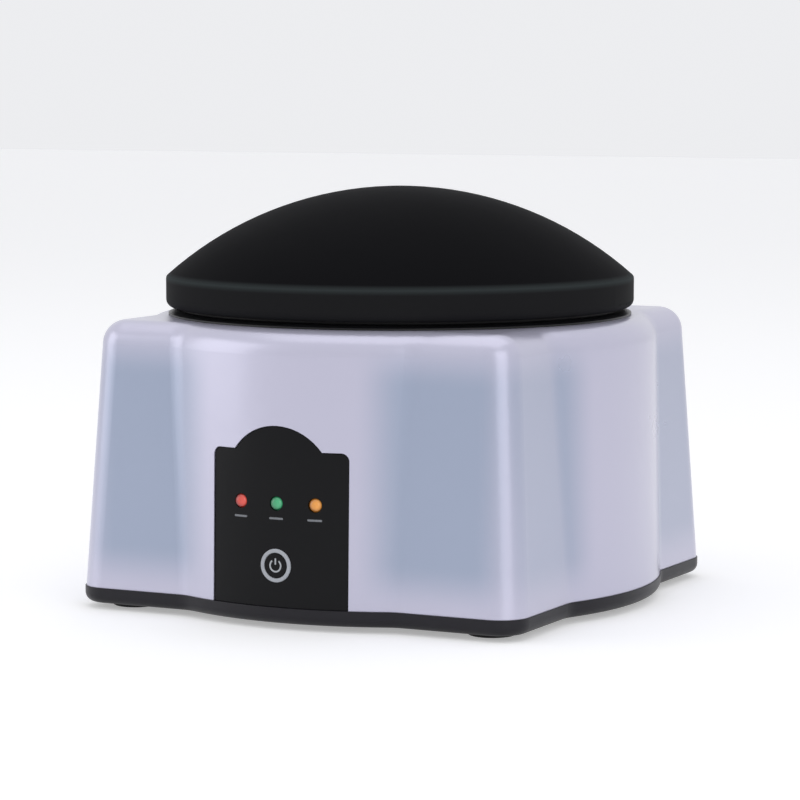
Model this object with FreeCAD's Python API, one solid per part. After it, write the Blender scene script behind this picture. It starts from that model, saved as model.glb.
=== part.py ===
"""Table-top steam machine for taking off gel nail polish, in millimetres.

A square casing with a round bulge on every side carries a wide round collar and a domed lid.
Under the lid hangs a tray with five finger openings, over a heated steel tank of remover.
The black arched panel on the front holds three lamps and the power button.

+Z is up, the front panel faces -Y, and the origin is under the middle of the feet.
"""
import FreeCAD, Part
import math
import os

Vector = FreeCAD.Vector
UP = Vector(0, 0, 1)
DOWN = Vector(0, 0, -1)
BACK = Vector(0, 1, 0)
FRONT = Vector(0, -1, 0)
RIGHT = Vector(1, 0, 0)

# ---------------------------------------------------------------- driving dimensions

# Casing plan: flats, the round bulge that stands out of each flat, and the corners.
FLAT_HALF = 90.0             # centre to a flat, at the shell's lower edge
FLAT_DRAFT = 5.5             # a flat leans in by this up to the deck
BULGE_RISE_BOTTOM = 9.5      # how far the bulge stands out of the flat, lower edge
BULGE_RISE_TOP = 13.0        # the same at the deck
CORNER_R = 11.0              # plan radius of the four corners
BLEND_R = 14.0               # hollow radius between flat and bulge

# Casing heights and walls.
FOOT_STAND = 2.0             # the feet hold the base this far off the table
BASE_RIM_HEIGHT = 6.0        # visible black band under the shell
SHELL_HEIGHT = 99.0
TOP_ROUND = 9.0              # rounding of the shell's upper edge
WALL = 2.5
DECK_THICKNESS = 3.0
RIB_THICKNESS = 1.6          # ribs that tie the corner posts to the walls
FIT_GAP = 0.25               # gap between pieces that slip together
TIGHTEST_CORNER_R = 1.1      # inside corners of the casing are no sharper than this
RIB_ABOVE_LIP = 1.0          # the ribs stop this far over the base's lip
OVERRUN = 1.0                # a cut that goes right through runs past each face by this

# Base.
BASE_PROUD = 0.4             # the band stands out of the shell by this
BASE_EDGE_ROUND = 3.5
BASE_FLOOR = 2.5
LIP_THICKNESS = 1.6
LIP_HEIGHT = 4.0             # the lip that centres the shell on the base
VENT_COUNT = 9
VENT_WIDTH = 2.6
VENT_LENGTH = 22.0
VENT_PITCH = 6.5
VENT_FROM_MIDDLE = 17.0      # the two rows of vents, each side of the middle

# Feet and the screws through them.
FOOT_R = 9.0
FOOT_HEIGHT = 6.0
FOOT_EDGE_ROUND = 1.2
FOOT_BEYOND_EAR = 10.5       # foot centre outside a tank ear, in X and in Y
CUP_WALL = 2.0
BOSS_R = 4.0
SCREW_R = 1.5
SCREW_HEAD_R = 2.8
SCREW_HEAD_HEIGHT = 1.8
SCREW_GRIP = 10.0            # length of screw in its post
SCREW_GAP = 0.05             # round a thread
TIP_ROOM = 0.4               # hole beyond a screw's tip
HEAD_ROUND_SHARE = 0.45      # rounding of a screw head, as a share of its height
PASS_GAP = 0.3               # round a shank that passes through
HEAD_SINK = 3.0              # screw head seat above the bottom of the foot

# Collar, tray and tank, measured inwards from the edge of the deck.
SEAT_MARGIN = 0.5            # flat deck left outside the collar
SEAT_WIDTH = 13.5            # collar width, out to the tray opening
SEAT_THICKNESS = 1.8
SEAT_TIP = 0.7               # thickness of the collar at its thin outer edge
SEAT_SLOPE = 3.0             # width of the sloping outer part of the collar
SKIRT_THICKNESS = 1.2        # the collar's skirt, down through the deck
TRAY_GAP = 0.5               # between the tray wall and the collar
TRAY_DEPTH = 10.0            # deck down to the tray floor
TRAY_WALL = 2.2
TRAY_RIM_THICKNESS = 1.2
TRAY_RIM_WIDTH = 1.8         # rim that lies on the collar's ledge
LIFT_TAB_ANGLES = (-22.0, 202.0)
LIFT_TAB_HALF_WIDTH = 8.0    # the two tabs by which the tray is lifted out
LIFT_TAB_REACH = 5.0
LIFT_TAB_CORNER_R = 3.0
PALM_RISE = 15.0
FINGER_COUNT = 5
FINGER_STEP = 38.0           # degrees between finger openings
FINGER_HALF_WIDTH = 11.5
FINGER_LENGTH = 30.0         # opening end to end, along its radius
FINGER_FROM_WALL = 2.3       # outer end of an opening in from the tray wall
FINGER_TO_PALM = 5.5         # inner end of an opening out from the palm rest
GROMMET_LIP = 1.6            # grommet over the tray floor, all round
GROMMET_WALL = 1.8
GROMMET_HEIGHT = 1.4         # lip above and below the floor

TANK_SIDE_GAP = 1.0          # tank wall outside the foot of the tray
TANK_DEPTH = 39.0
TANK_DRAFT = 8.0             # the tank is this much narrower in radius at its floor
TANK_CORNER_R = 12.0
TANK_SHEET = 1.2
TANK_FLANGE = 6.0            # flange width outside the tank wall
GASKET_THICKNESS = 1.5
EAR_R = 5.0                  # tank fixing ears, on the diagonals
EAR_GAP = 1.2                # between the gasket and the boss over an ear
EAR_SCREW_GRIP = 2.6

# Lid.
LID_OVERHANG = 0.9           # lid edge outside the collar
LID_GRIP_GAP = 1.0           # finger groove between collar and lid
LID_RIM_HEIGHT = 11.5
LID_RISE = 34.0              # dome over the rim
LID_WALL = 2.6
LID_CREASE_ROUND = 1.6
LID_EDGE_ROUND = 3.0
LID_EDGE_WIDTH = 3.4         # thickness of the rim at its lower edge
LID_NECK_INSET = 5.4         # neck inside the rim
LID_NECK_WALL = 2.0
LID_RING_THICKNESS = 2.4
LID_GASKET_HEIGHT = 1.0

# Front panel, measured up from the shell's lower edge.
PANEL_HALF_WIDTH = 27.3
PANEL_SHOULDER = 56.0        # height of the square shoulders
PANEL_CORNER_R = 3.0
PANEL_ARCH_HALF = 17.5       # half width of the raised arch
PANEL_ARCH_RISE = 8.9
PANEL_RECESS = 0.5           # panel face behind the shell face
PANEL_GAP = 0.2
PANEL_LAP = 3.0              # flange behind the shell, all round
PANEL_FLANGE = 1.5
LED_HEIGHT = 37.3
LED_PITCH = 15.0
LED_R = 2.5
LED_GAP = 0.1
LED_STAND_OUT = 0.9
LED_NOSE_ROUND = 2.0
LED_LENGTH = 8.0
LED_FLANGE_R = 2.9
LED_FLANGE = 1.0
LEAD_HALF = 0.25
LEAD_PITCH = 2.54
BUTTON_HEIGHT = 15.0
BUTTON_R = 4.5
BUTTON_GAP = 0.1
BUTTON_PROUD = 0.3           # button face in front of the panel
BUTTON_TRAVEL = 0.5
BUTTON_COLLAR = 0.9          # width of the collar that keeps the button in
BUTTON_COLLAR_LENGTH = 1.2
BUTTON_POCKET = 0.8          # flat pocket for the collar in the back of the panel
BUTTON_EDGE_ROUND = 0.35
STEM_R = 2.4
TRIM_RING_WIDTH = 1.45
TRIM_RING_PROUD = 0.4
TRIM_RING_SINK = 0.8
TRIM_RING_ROUND = 0.32

# Control board behind the panel.
LEAD_REACH = 2.5             # wire between an outer lamp and the board
BOARD_THICKNESS = 1.6
BOARD_HALF_WIDTH = 25.0
BOARD_LOW = 6.0              # board edges, up from the shell's lower edge
BOARD_HIGH = 50.0
BOARD_HOLE_INSET = 4.0
POST_R = 2.6
SMALL_SCREW_R = 1.1
SMALL_HEAD_R = 2.1
SMALL_HEAD_HEIGHT = 1.4
SMALL_SCREW_GRIP = 4.0
TACT_HALF = 3.0
TACT_BODY = 3.5
PLUNGER_R = 1.75
PLUNGER_OUT = 1.5
PLUNGER_IN = 1.4
PLUG_HALF_X = 6.2
PLUG_HALF = 2.9
PLUG_LENGTH = 8.0

# Power board on the base.
POWER_HALF_X = 37.0
POWER_FRONT = -30.0
POWER_BACK = 50.0
POWER_LIFT = 6.0             # board above the base floor
CORE_SIZE = (14.0, 34.0, 26.0)
BOBBIN_SIZE = (24.0, 22.0, 16.0)
CORE_AT = (-21.5, 0.0)
RELAY_SIZE = (15.5, 19.0, 15.3)
RELAY_AT = (20.0, -12.0)
RELAY_ROUND = 1.0
CAPACITOR_R = 6.5
CAPACITOR_HEIGHT = 20.0
CAPACITOR_AT = (20.0, 8.0)
FUSE_R = 2.6
FUSE_LENGTH = 20.0
FUSE_CAP = 5.0
FUSE_AT = (-20.0, 26.0)
FUSE_LIFT = 4.5              # fuse axis above the board
CLIP_HALF = 2.5
CLIP_SHEET = 0.5
TERMINAL_SIZE = (40.0, 10.0, 11.0)
TERMINAL_AT = (0.0, 40.0)
TERMINAL_PITCH = 9.0
TERMINAL_HOLE_R = 1.7
TERMINAL_HOLE_DEPTH = 6.0
LEAD_END_GAP = 1.0           # between a lead's end and the bottom of its hole

# Heater under the tank.
HEATER_R = 42.0
HEATER_HOLE_R = 13.0
HEATER_THICKNESS = 6.0
CLAMP_SHEET = 1.5
CLAMP_ARM_HALF = 7.0
CLAMP_HUB_R = 17.0
STUD_AT_R = 49.0
STUD_R = 2.0
STUD_BELOW_CLAMP = 8.0
NUT_FLATS_HALF = 3.5
NUT_HEIGHT = 3.2
THERMOSTAT_R = 8.5
THERMOSTAT_BODY_R = 7.2
THERMOSTAT_BODY = 8.0
CUTOUT_HALF = (9.0, 3.0)     # thermal cut-out, half length and half width
CUTOUT_HEIGHT = 4.0
CUTOUT_AT_Y = -27.0
TAB_WIDTH = 4.8
TAB_SHEET = 0.8
TAB_LENGTH = 7.0
HEATER_TAB_AT = (34.0, 8.0)

# Mains inlet at the back.
INLET_HEIGHT = 23.0          # centre, up from the shell's lower edge
INLET_FLANGE_HALF = (15.4, 12.2)
INLET_FLANGE = 2.0
INLET_BODY_HALF = (13.6, 10.2)
INLET_DEPTH = 17.0
INLET_WALL = 1.3
INLET_CUT_CORNER = 4.0
INLET_FLOOR = 2.5
INLET_POCKET = 2.2           # flange seat below the top of the bulge
INLET_PAD = 3.0
PIN_HALF_WIDTH = 2.0
PIN_HALF_THICKNESS = 1.0
PIN_LENGTH = 11.5
PIN_PITCH = 7.0              # live and neutral, each side of the middle
PIN_DROP = 3.2
EARTH_RISE = 0.8

# Leads.
WIRE_R = 1.1
BUNDLE_R = 1.8
BEND_SHARE = 0.45            # share of the shorter run that a bend takes up
EARTH_TAG_R = 4.5
EARTH_TAG_REACH = 10.0       # stud to the end of the tag's tongue
EARTH_TAG_HALF = 1.8
PLUG_UP = 16.0               # control board plug, up from the shell's lower edge
PLUG_FROM_FRONT = 5.0        # power board plug, in from the board's front edge

# ---------------------------------------------------------------- sizes that follow

BASE_Z = FOOT_STAND
SHELL_Z = BASE_Z + BASE_RIM_HEIGHT
DECK_Z = SHELL_Z + SHELL_HEIGHT
DECK_UNDER_Z = DECK_Z - DECK_THICKNESS
BASE_FLOOR_Z = BASE_Z + BASE_FLOOR
CUP_TOP_Z = FOOT_HEIGHT + BASE_FLOOR
lip_inset = WALL + FIT_GAP

seat_r = FLAT_HALF - FLAT_DRAFT + BULGE_RISE_TOP - TOP_ROUND - SEAT_MARGIN
opening_r = seat_r - SEAT_WIDTH
deck_hole_r = opening_r + SKIRT_THICKNESS + FIT_GAP
tray_r = opening_r - TRAY_GAP
tray_rim_r = tray_r + TRAY_RIM_WIDTH + TRAY_GAP
SEAT_TOP_Z = DECK_Z + SEAT_THICKNESS
LEDGE_Z = SEAT_TOP_Z - TRAY_RIM_THICKNESS
TRAY_FLOOR_Z = DECK_Z - TRAY_DEPTH
TRAY_UNDER_Z = TRAY_FLOOR_Z - TRAY_WALL
finger_at_r = tray_r - TRAY_WALL - FINGER_FROM_WALL - FINGER_LENGTH / 2
palm_r = finger_at_r - FINGER_LENGTH / 2 - FINGER_TO_PALM
finger_angles = [90 + FINGER_STEP * (n - (FINGER_COUNT - 1) / 2) for n in range(FINGER_COUNT)]

TANK_TOP_Z = DECK_UNDER_Z - GASKET_THICKNESS
tank_r = tray_r + TANK_SIDE_GAP + TANK_DRAFT * (TANK_TOP_Z - TRAY_UNDER_Z) / TANK_DEPTH
tank_flange_r = tank_r + TANK_SHEET + TANK_FLANGE
ear_at_r = tank_flange_r + EAR_GAP + BOSS_R
foot_at = ear_at_r * math.sqrt(0.5) + FOOT_BEYOND_EAR
TANK_FLOOR_Z = TANK_TOP_Z - TANK_DEPTH
TANK_UNDER_Z = TANK_FLOOR_Z - TANK_SHEET
HEATER_UNDER_Z = TANK_UNDER_Z - HEATER_THICKNESS
CLAMP_UNDER_Z = HEATER_UNDER_Z - CLAMP_SHEET
NUT_UNDER_Z = CLAMP_UNDER_Z - NUT_HEIGHT

lid_r = seat_r + LID_OVERHANG
neck_r = lid_r - LID_NECK_INSET
LID_BOTTOM_Z = SEAT_TOP_Z + LID_GRIP_GAP
LID_CREASE_Z = LID_BOTTOM_Z + LID_RIM_HEIGHT

button_z = SHELL_Z + BUTTON_HEIGHT
led_z = SHELL_Z + LED_HEIGHT
trim_ring_r = BUTTON_R + BUTTON_GAP + TRIM_RING_WIDTH

POWER_UNDER_Z = BASE_FLOOR_Z + POWER_LIFT
POWER_TOP_Z = POWER_UNDER_Z + BOARD_THICKNESS
INLET_Z = SHELL_Z + INLET_HEIGHT


# ---------------------------------------------------------------- building helpers

def cylinder(r, length, base, direction=UP):
    """A round bar of radius r from the point base."""
    return Part.makeCylinder(r, length, Vector(*base), direction)


def tube(r_out, r_in, length, base, direction=UP):
    """A round bar with a round hole right through it."""
    return cylinder(r_out, length, base, direction).cut(cylinder(r_in, length, base, direction))


def block(x0, x1, y0, y1, z0, z1):
    """A box between two corners."""
    return Part.makeBox(x1 - x0, y1 - y0, z1 - z0, Vector(x0, y0, z0))


def fused(shapes):
    """One solid made of all the shapes."""
    first, *rest = shapes
    return first.fuse(rest).removeSplitter() if rest else first


def turned(shape, degrees):
    """A copy turned about the machine's upright axis."""
    return shape.rotated(Vector(0, 0, 0), UP, degrees)


def corners(x, y):
    """The four places that mirror (x, y) in both axes."""
    return [(sx * x, sy * y) for sx in (1, -1) for sy in (1, -1)]


def arc(start, middle, end):
    return Part.Arc(Vector(*start), Vector(*middle), Vector(*end)).toShape()


def line(start, end):
    return Part.makeLine(Vector(*start), Vector(*end))


def spun(points):
    """The solid that a closed outline of (radius, height) corners makes about the upright axis."""
    loop = [Vector(r, 0, z) for r, z in points]
    face = Part.Face(Part.makePolygon(loop + loop[:1]))
    return face.revolve(Vector(0, 0, 0), UP, 360)


def circle_edges(shape, r, z):
    """The round edges of one radius about the upright axis, at one height."""
    found = []
    for edge in shape.Edges:
        if edge.Degenerated or not isinstance(edge.Curve, Part.Circle):
            continue
        centre = edge.Curve.Center
        if max(abs(edge.Curve.Radius - r), abs(centre.z - z), math.hypot(centre.x, centre.y)) < 1e-4:
            found.append(edge)
    return found


def cap(r_foot, rise, z_foot):
    """The part of a ball over a flat circle: radius r_foot at z_foot, and rise high in the middle."""
    ball_r = ball_radius(r_foot, rise)
    ball = Part.makeSphere(ball_r, Vector(0, 0, z_foot + rise - ball_r))
    return ball.common(cylinder(r_foot + rise, rise * 2, (0, 0, z_foot)))


def ball_radius(r_foot, rise):
    return (r_foot ** 2 + rise ** 2) / (2 * rise)


def slot(half_width, length, z0, z1, at_r=0.0):
    """An upright bar with two round ends, lying along X, its middle at at_r."""
    reach = length / 2 - half_width
    ends = [cylinder(half_width, z1 - z0, (at_r + side * reach, 0, z0)) for side in (1, -1)]
    middle = block(at_r - reach, at_r + reach, -half_width, half_width, z0, z1)
    return fused([middle, *ends])


def screw(head_r, head_height, shank_r, length, under_head, direction):
    """A pan-head screw: under_head is where the head meets the work, and direction runs to the tip."""
    shank = cylinder(shank_r, length, under_head, direction)
    head = cylinder(head_r, head_height, under_head, direction.negative())
    rim = [e for e in head.Edges if isinstance(e.Curve, Part.Circle)
           and e.Curve.Center.distanceToPoint(Vector(*under_head)) > head_height / 2]
    return head.makeFillet(head_height * HEAD_ROUND_SHARE, rim).fuse(shank)


def cable(points, r):
    """A round lead through the points: straight runs joined by arcs as large as the runs allow."""
    stops = [Vector(*p) for p in points]
    edges, here = [], stops[0]
    for before, corner, after in zip(stops, stops[1:], stops[2:]):
        into, out = corner - before, after - corner
        half_turn = into.getAngle(out) / 2
        reach = BEND_SHARE * min(into.Length, out.Length)
        arc_start = corner - into.normalize() * reach
        arc_end = corner + out.normalize() * reach
        chord_middle = (arc_start + arc_end) / 2
        depth = reach / math.tan(half_turn) * (1 / math.cos(half_turn) - 1)
        towards = (chord_middle - corner).normalize()
        edges.append(Part.makeLine(here, arc_start))
        edges.append(Part.Arc(arc_start, corner + towards * depth, arc_end).toShape())
        here = arc_end
    edges.append(Part.makeLine(here, stops[-1]))
    path = Part.Wire(edges)
    start_ring = Part.Wire(Part.makeCircle(r, stops[0], stops[1] - stops[0]))
    return path.makePipeShell([start_ring], True, True)


# ---------------------------------------------------------------- casing plan

def plan_sizes(z):
    """Centre to flat, and bulge radius, of the casing at height z."""
    share = (z - SHELL_Z) / SHELL_HEIGHT
    flat = FLAT_HALF - share * FLAT_DRAFT
    rise = BULGE_RISE_BOTTOM + share * (BULGE_RISE_TOP - BULGE_RISE_BOTTOM)
    return flat, flat + rise


def plan_wire(z, inset=0.0, like_z=None):
    """The casing's outline at height z, moved inwards by inset. like_z takes the sizes of another height."""
    flat, bulge = (size - inset for size in plan_sizes(z if like_z is None else like_z))
    corner = max(CORNER_R - inset, TIGHTEST_CORNER_R)
    blend = BLEND_R + inset
    blend_x = math.sqrt((bulge + blend) ** 2 - (flat + blend) ** 2)
    blend_centre = Vector(blend_x, -(flat + blend), z)
    to_axis = Vector(-blend_x, flat + blend, 0).normalize()
    on_bulge = blend_centre + to_axis * blend
    blend_middle = blend_centre + (to_axis + BACK).normalize() * blend
    on_flat = Vector(blend_x, -flat, z)
    flat_end = Vector(flat - corner, -flat, z)
    corner_middle = Vector(flat - corner, corner - flat, z) + Vector(1, -1, 0).normalize() * corner
    corner_end = Vector(flat, corner - flat, z)

    def left(point):
        return Vector(-point.x, point.y, point.z)

    side = [
        Part.makeLine(left(flat_end), left(on_flat)),
        Part.Arc(left(on_flat), left(blend_middle), left(on_bulge)).toShape(),
        Part.Arc(left(on_bulge), Vector(0, -bulge, z), on_bulge).toShape(),
        Part.Arc(on_bulge, blend_middle, on_flat).toShape(),
        Part.makeLine(on_flat, flat_end),
        Part.Arc(flat_end, corner_middle, corner_end).toShape(),
    ]
    return Part.Wire([turned(edge, quarter * 90) for quarter in range(4) for edge in side])


def casing_block(z0, z1, inset=0.0, like_z=None):
    """A solid of the casing's plan between two heights, with the casing's own draft."""
    return Part.makeLoft([plan_wire(z0, inset, like_z), plan_wire(z1, inset, like_z)], True, True)


def outline_edges(shape, z):
    """The edges of a casing block that lie in the plane at height z."""
    return [e for e in shape.Edges if abs(e.BoundBox.ZMin - z) < 1e-4 and abs(e.BoundBox.ZMax - z) < 1e-4]


def bulge_y(x, z, inset=0.0):
    """How far in front of the axis the bulge's face lies at (x, z)."""
    return math.sqrt((plan_sizes(z)[1] - inset) ** 2 - x ** 2)


# ---------------------------------------------------------------- front panel

def panel_face(grow=0.0):
    """The panel's arch-topped outline in the plane Y = 0, grown by grow, standing on the base rim."""
    half = PANEL_HALF_WIDTH + grow
    shoulder = SHELL_Z + PANEL_SHOULDER + grow
    arch_half = PANEL_ARCH_HALF + grow
    top = shoulder + PANEL_ARCH_RISE
    r = PANEL_CORNER_R
    diagonal = r * (1 - math.sqrt(0.5))
    edges = [
        line((-half, 0, SHELL_Z), (half, 0, SHELL_Z)),
        line((half, 0, SHELL_Z), (half, 0, shoulder - r)),
        arc((half, 0, shoulder - r), (half - diagonal, 0, shoulder - diagonal), (half - r, 0, shoulder)),
        line((half - r, 0, shoulder), (arch_half, 0, shoulder)),
        arc((arch_half, 0, shoulder), (0, 0, top), (-arch_half, 0, shoulder)),
        line((-arch_half, 0, shoulder), (r - half, 0, shoulder)),
        arc((r - half, 0, shoulder), (diagonal - half, 0, shoulder - diagonal), (-half, 0, shoulder - r)),
        line((-half, 0, shoulder - r), (-half, 0, SHELL_Z)),
    ]
    return Part.Face(Part.Wire(edges))


def panel_prism(grow=0.0):
    """The panel's outline carried forwards through the front wall."""
    return panel_face(grow).extrude(Vector(0, -2 * FLAT_HALF, 0))


# ---------------------------------------------------------------- places that several pieces share

led_columns = [-LED_PITCH, 0.0, LED_PITCH]
outer_lamp_back_y = -bulge_y(LED_PITCH, led_z, PANEL_RECESS) - LED_STAND_OUT + LED_LENGTH
board_face_y = outer_lamp_back_y + LEAD_REACH
board_back_y = board_face_y + BOARD_THICKNESS
plunger_tip_y = board_face_y - TACT_BODY - PLUNGER_OUT
ring_seat_y = -bulge_y(0, button_z, PANEL_RECESS) + TRIM_RING_SINK
pocket_y = -bulge_y(0, button_z, WALL + PANEL_FLANGE) - BUTTON_POCKET
board_holes = [(side * (BOARD_HALF_WIDTH - BOARD_HOLE_INSET), SHELL_Z + up)
               for side in (-1, 1) for up in (BOARD_LOW + BOARD_HOLE_INSET, BOARD_HIGH - BOARD_HOLE_INSET)]
power_holes = [(side * (POWER_HALF_X - BOARD_HOLE_INSET), y)
               for side in (-1, 1) for y in (POWER_FRONT + BOARD_HOLE_INSET, POWER_BACK - BOARD_HOLE_INSET)]
inlet_seat_y = bulge_y(0, INLET_Z) - INLET_POCKET
inlet_back_y = inlet_seat_y - INLET_DEPTH
pin_places = [(-PIN_PITCH, INLET_Z - PIN_DROP), (PIN_PITCH, INLET_Z - PIN_DROP), (0.0, INLET_Z + EARTH_RISE)]
fuse_z = POWER_TOP_Z + FUSE_LIFT
terminal_columns = [TERMINAL_AT[0] + TERMINAL_PITCH * (n - 1.5) for n in range(4)]
terminal_z = POWER_TOP_Z + TERMINAL_SIZE[2] / 2
terminal_end_y = TERMINAL_AT[1] + TERMINAL_SIZE[1] / 2 - TERMINAL_HOLE_DEPTH + LEAD_END_GAP
control_plug_z = SHELL_Z + PLUG_UP
power_plug_y = POWER_FRONT + PLUG_FROM_FRONT
earth_tag_z = NUT_UNDER_Z - TAB_SHEET
foot_places = corners(foot_at, foot_at)


# ---------------------------------------------------------------- casing

def shell_hollow(inset):
    """The room inside the casing's wall, or deeper, up to the underside of the deck."""
    return casing_block(SHELL_Z, DECK_UNDER_Z, inset)


def diagonal_places(r):
    """The four places at radius r on the corners' diagonals."""
    return corners(r * math.sqrt(0.5), r * math.sqrt(0.5))


def corner_post(x, y, hollow):
    """A post for a base screw, tied to the two walls of its corner by ribs."""
    post = cylinder(BOSS_R, DECK_Z - CUP_TOP_Z - DECK_THICKNESS / 2, (x, y, CUP_TOP_Z))
    rib_z = SHELL_Z + LIP_HEIGHT + RIB_ABOVE_LIP
    half = RIB_THICKNESS / 2
    far_x, far_y = math.copysign(FLAT_HALF, x), math.copysign(FLAT_HALF, y)
    ribs = [
        block(min(x, far_x), max(x, far_x), y - half, y + half, rib_z, DECK_UNDER_Z),
        block(x - half, x + half, min(y, far_y), max(y, far_y), rib_z, DECK_UNDER_Z),
    ]
    return [post] + [rib.common(hollow) for rib in ribs]


def housing_shell():
    """The white moulded casing: drafted walls, a deck with a round hole, and posts for the screws."""
    outside = casing_block(SHELL_Z, DECK_Z)
    outside = outside.makeFillet(TOP_ROUND, outline_edges(outside, DECK_Z))
    hollow = shell_hollow(WALL)
    hollow = hollow.makeFillet(TOP_ROUND - WALL, outline_edges(hollow, DECK_UNDER_Z))
    posts = [piece for x, y in foot_places for piece in corner_post(x, y, hollow)]
    bosses = [cylinder(BOSS_R, DECK_Z - TANK_TOP_Z - DECK_THICKNESS / 2, (x, y, TANK_TOP_Z))
              for x, y in diagonal_places(ear_at_r)]
    pad_x, pad_z = (half + 2 * FIT_GAP for half in INLET_FLANGE_HALF)
    pad = block(-pad_x - WALL, pad_x + WALL, inlet_seat_y - INLET_PAD, inlet_seat_y + INLET_POCKET,
                INLET_Z - pad_z - WALL, INLET_Z + pad_z + WALL).common(outside)
    shell = fused([outside.cut(hollow), *posts, *bosses, pad])
    body_x, body_z = (half + FIT_GAP for half in INLET_BODY_HALF)
    cuts = [
        cylinder(deck_hole_r, DECK_THICKNESS + 2 * OVERRUN, (0, 0, DECK_UNDER_Z - OVERRUN)),
        panel_prism(PANEL_GAP),
        block(-pad_x, pad_x, inlet_seat_y, FLAT_HALF * 2, INLET_Z - pad_z, INLET_Z + pad_z),
        block(-body_x, body_x, inlet_seat_y - 2 * INLET_PAD, inlet_seat_y,
              INLET_Z - body_z, INLET_Z + body_z),
    ]
    cuts += [cylinder(SCREW_R + SCREW_GAP, SCREW_GRIP + TIP_ROOM, (x, y, CUP_TOP_Z))
             for x, y in foot_places]
    cuts += [cylinder(SCREW_R + SCREW_GAP, EAR_SCREW_GRIP + TIP_ROOM, (x, y, TANK_TOP_Z))
             for x, y in diagonal_places(ear_at_r)]
    return shell.cut(cuts)


def base_tray():
    """The black base: a shallow pan with the shell's outline, cups for the feet and posts for the board."""
    pan = casing_block(BASE_Z, SHELL_Z, -BASE_PROUD, SHELL_Z)
    pan = pan.makeFillet(BASE_EDGE_ROUND, outline_edges(pan, BASE_Z))
    pan = pan.cut(casing_block(BASE_FLOOR_Z, SHELL_Z, lip_inset + LIP_THICKNESS, SHELL_Z))
    lip = casing_block(SHELL_Z, SHELL_Z + LIP_HEIGHT, lip_inset)
    lip = lip.cut(casing_block(SHELL_Z, SHELL_Z + LIP_HEIGHT, lip_inset + LIP_THICKNESS))
    notch_half = PANEL_HALF_WIDTH + PANEL_LAP + FIT_GAP
    lip = lip.cut(block(-notch_half, notch_half, -2 * FLAT_HALF, 0, SHELL_Z, SHELL_Z + LIP_HEIGHT))
    cups = [cylinder(FOOT_R + CUP_WALL, CUP_TOP_Z - BASE_Z, (x, y, BASE_Z))
            for x, y in foot_places]
    posts = [cylinder(POST_R, POWER_LIFT + BASE_FLOOR / 2, (x, y, BASE_FLOOR_Z - BASE_FLOOR / 2))
             for x, y in power_holes]
    base = fused([pan, lip, *cups, *posts])
    cuts = [cylinder(FOOT_R + FIT_GAP, FOOT_HEIGHT, (x, y, 0)) for x, y in foot_places]
    cuts += [cylinder(SCREW_R + PASS_GAP, CUP_TOP_Z, (x, y, 0)) for x, y in foot_places]
    cuts += [cylinder(SMALL_SCREW_R + SCREW_GAP, SMALL_SCREW_GRIP + TIP_ROOM, (x, y, POWER_UNDER_Z), DOWN)
             for x, y in power_holes]
    for side in (-1, 1):
        for n in range(VENT_COUNT):
            vent = slot(VENT_WIDTH / 2, VENT_LENGTH, BASE_Z - OVERRUN, BASE_FLOOR_Z + OVERRUN,
                        side * VENT_FROM_MIDDLE)
            vent.translate(Vector(0, VENT_PITCH * (n - (VENT_COUNT - 1) / 2), 0))
            cuts.append(vent)
    return base.cut(cuts)


def rubber_foot(x, y):
    """A round foot with a well for its screw."""
    foot = cylinder(FOOT_R, FOOT_HEIGHT, (x, y, 0))
    foot = foot.makeFillet(FOOT_EDGE_ROUND, [e for e in foot.Edges if e.BoundBox.ZMax < FOOT_EDGE_ROUND])
    well = cylinder(SCREW_HEAD_R + 2 * PASS_GAP, HEAD_SINK, (x, y, 0))
    return foot.cut([well, cylinder(SCREW_R + PASS_GAP, FOOT_HEIGHT, (x, y, 0))])


def base_screw(x, y):
    length = CUP_TOP_Z - HEAD_SINK + SCREW_GRIP
    return screw(SCREW_HEAD_R, SCREW_HEAD_HEIGHT, SCREW_R, length, (x, y, HEAD_SINK), UP)


# ---------------------------------------------------------------- front panel pieces

def control_panel():
    """The black panel: an arched plate in the shell's doorway with a flange behind the wall."""
    back = shell_hollow(WALL + PANEL_FLANGE)
    plate = shell_hollow(PANEL_RECESS).cut(back).common(panel_prism())
    flange = shell_hollow(WALL).cut(back).common(panel_prism(PANEL_LAP))
    posts = []
    for x, z in board_holes:
        start = -bulge_y(x, z, WALL + PANEL_FLANGE / 2)
        posts.append(cylinder(POST_R, board_face_y - start, (x, start, z), BACK))
    panel = fused([plate, flange, *posts])
    front = (0, -bulge_y(0, button_z), button_z)
    through = board_face_y - front[1]
    cuts = [
        cylinder(BUTTON_R + BUTTON_GAP, through, front, BACK),
        cylinder(trim_ring_r, ring_seat_y - front[1], front, BACK),
        cylinder(BUTTON_R + BUTTON_COLLAR + BUTTON_POCKET, through, (0, pocket_y, button_z), BACK),
    ]
    cuts += [cylinder(LED_R + LED_GAP, through, (x, front[1], led_z), BACK) for x in led_columns]
    cuts += [cylinder(SMALL_SCREW_R + SCREW_GAP, SMALL_SCREW_GRIP + TIP_ROOM, (x, board_face_y, z), FRONT)
             for x, z in board_holes]
    return panel.cut(cuts)


def lamp(x):
    """A lens that stands a little out of the panel, with the flange of its body behind."""
    tip = -bulge_y(x, led_z, PANEL_RECESS) - LED_STAND_OUT
    body = cylinder(LED_R, LED_LENGTH, (x, tip, led_z), BACK)
    nose = [e for e in body.Edges if e.BoundBox.YMax < tip + 1e-3 and isinstance(e.Curve, Part.Circle)]
    body = body.makeFillet(LED_NOSE_ROUND, nose)
    flange = cylinder(LED_FLANGE_R, LED_FLANGE, (x, tip + LED_LENGTH - LED_FLANGE, led_z), BACK)
    return body.fuse(flange).removeSplitter()


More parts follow.
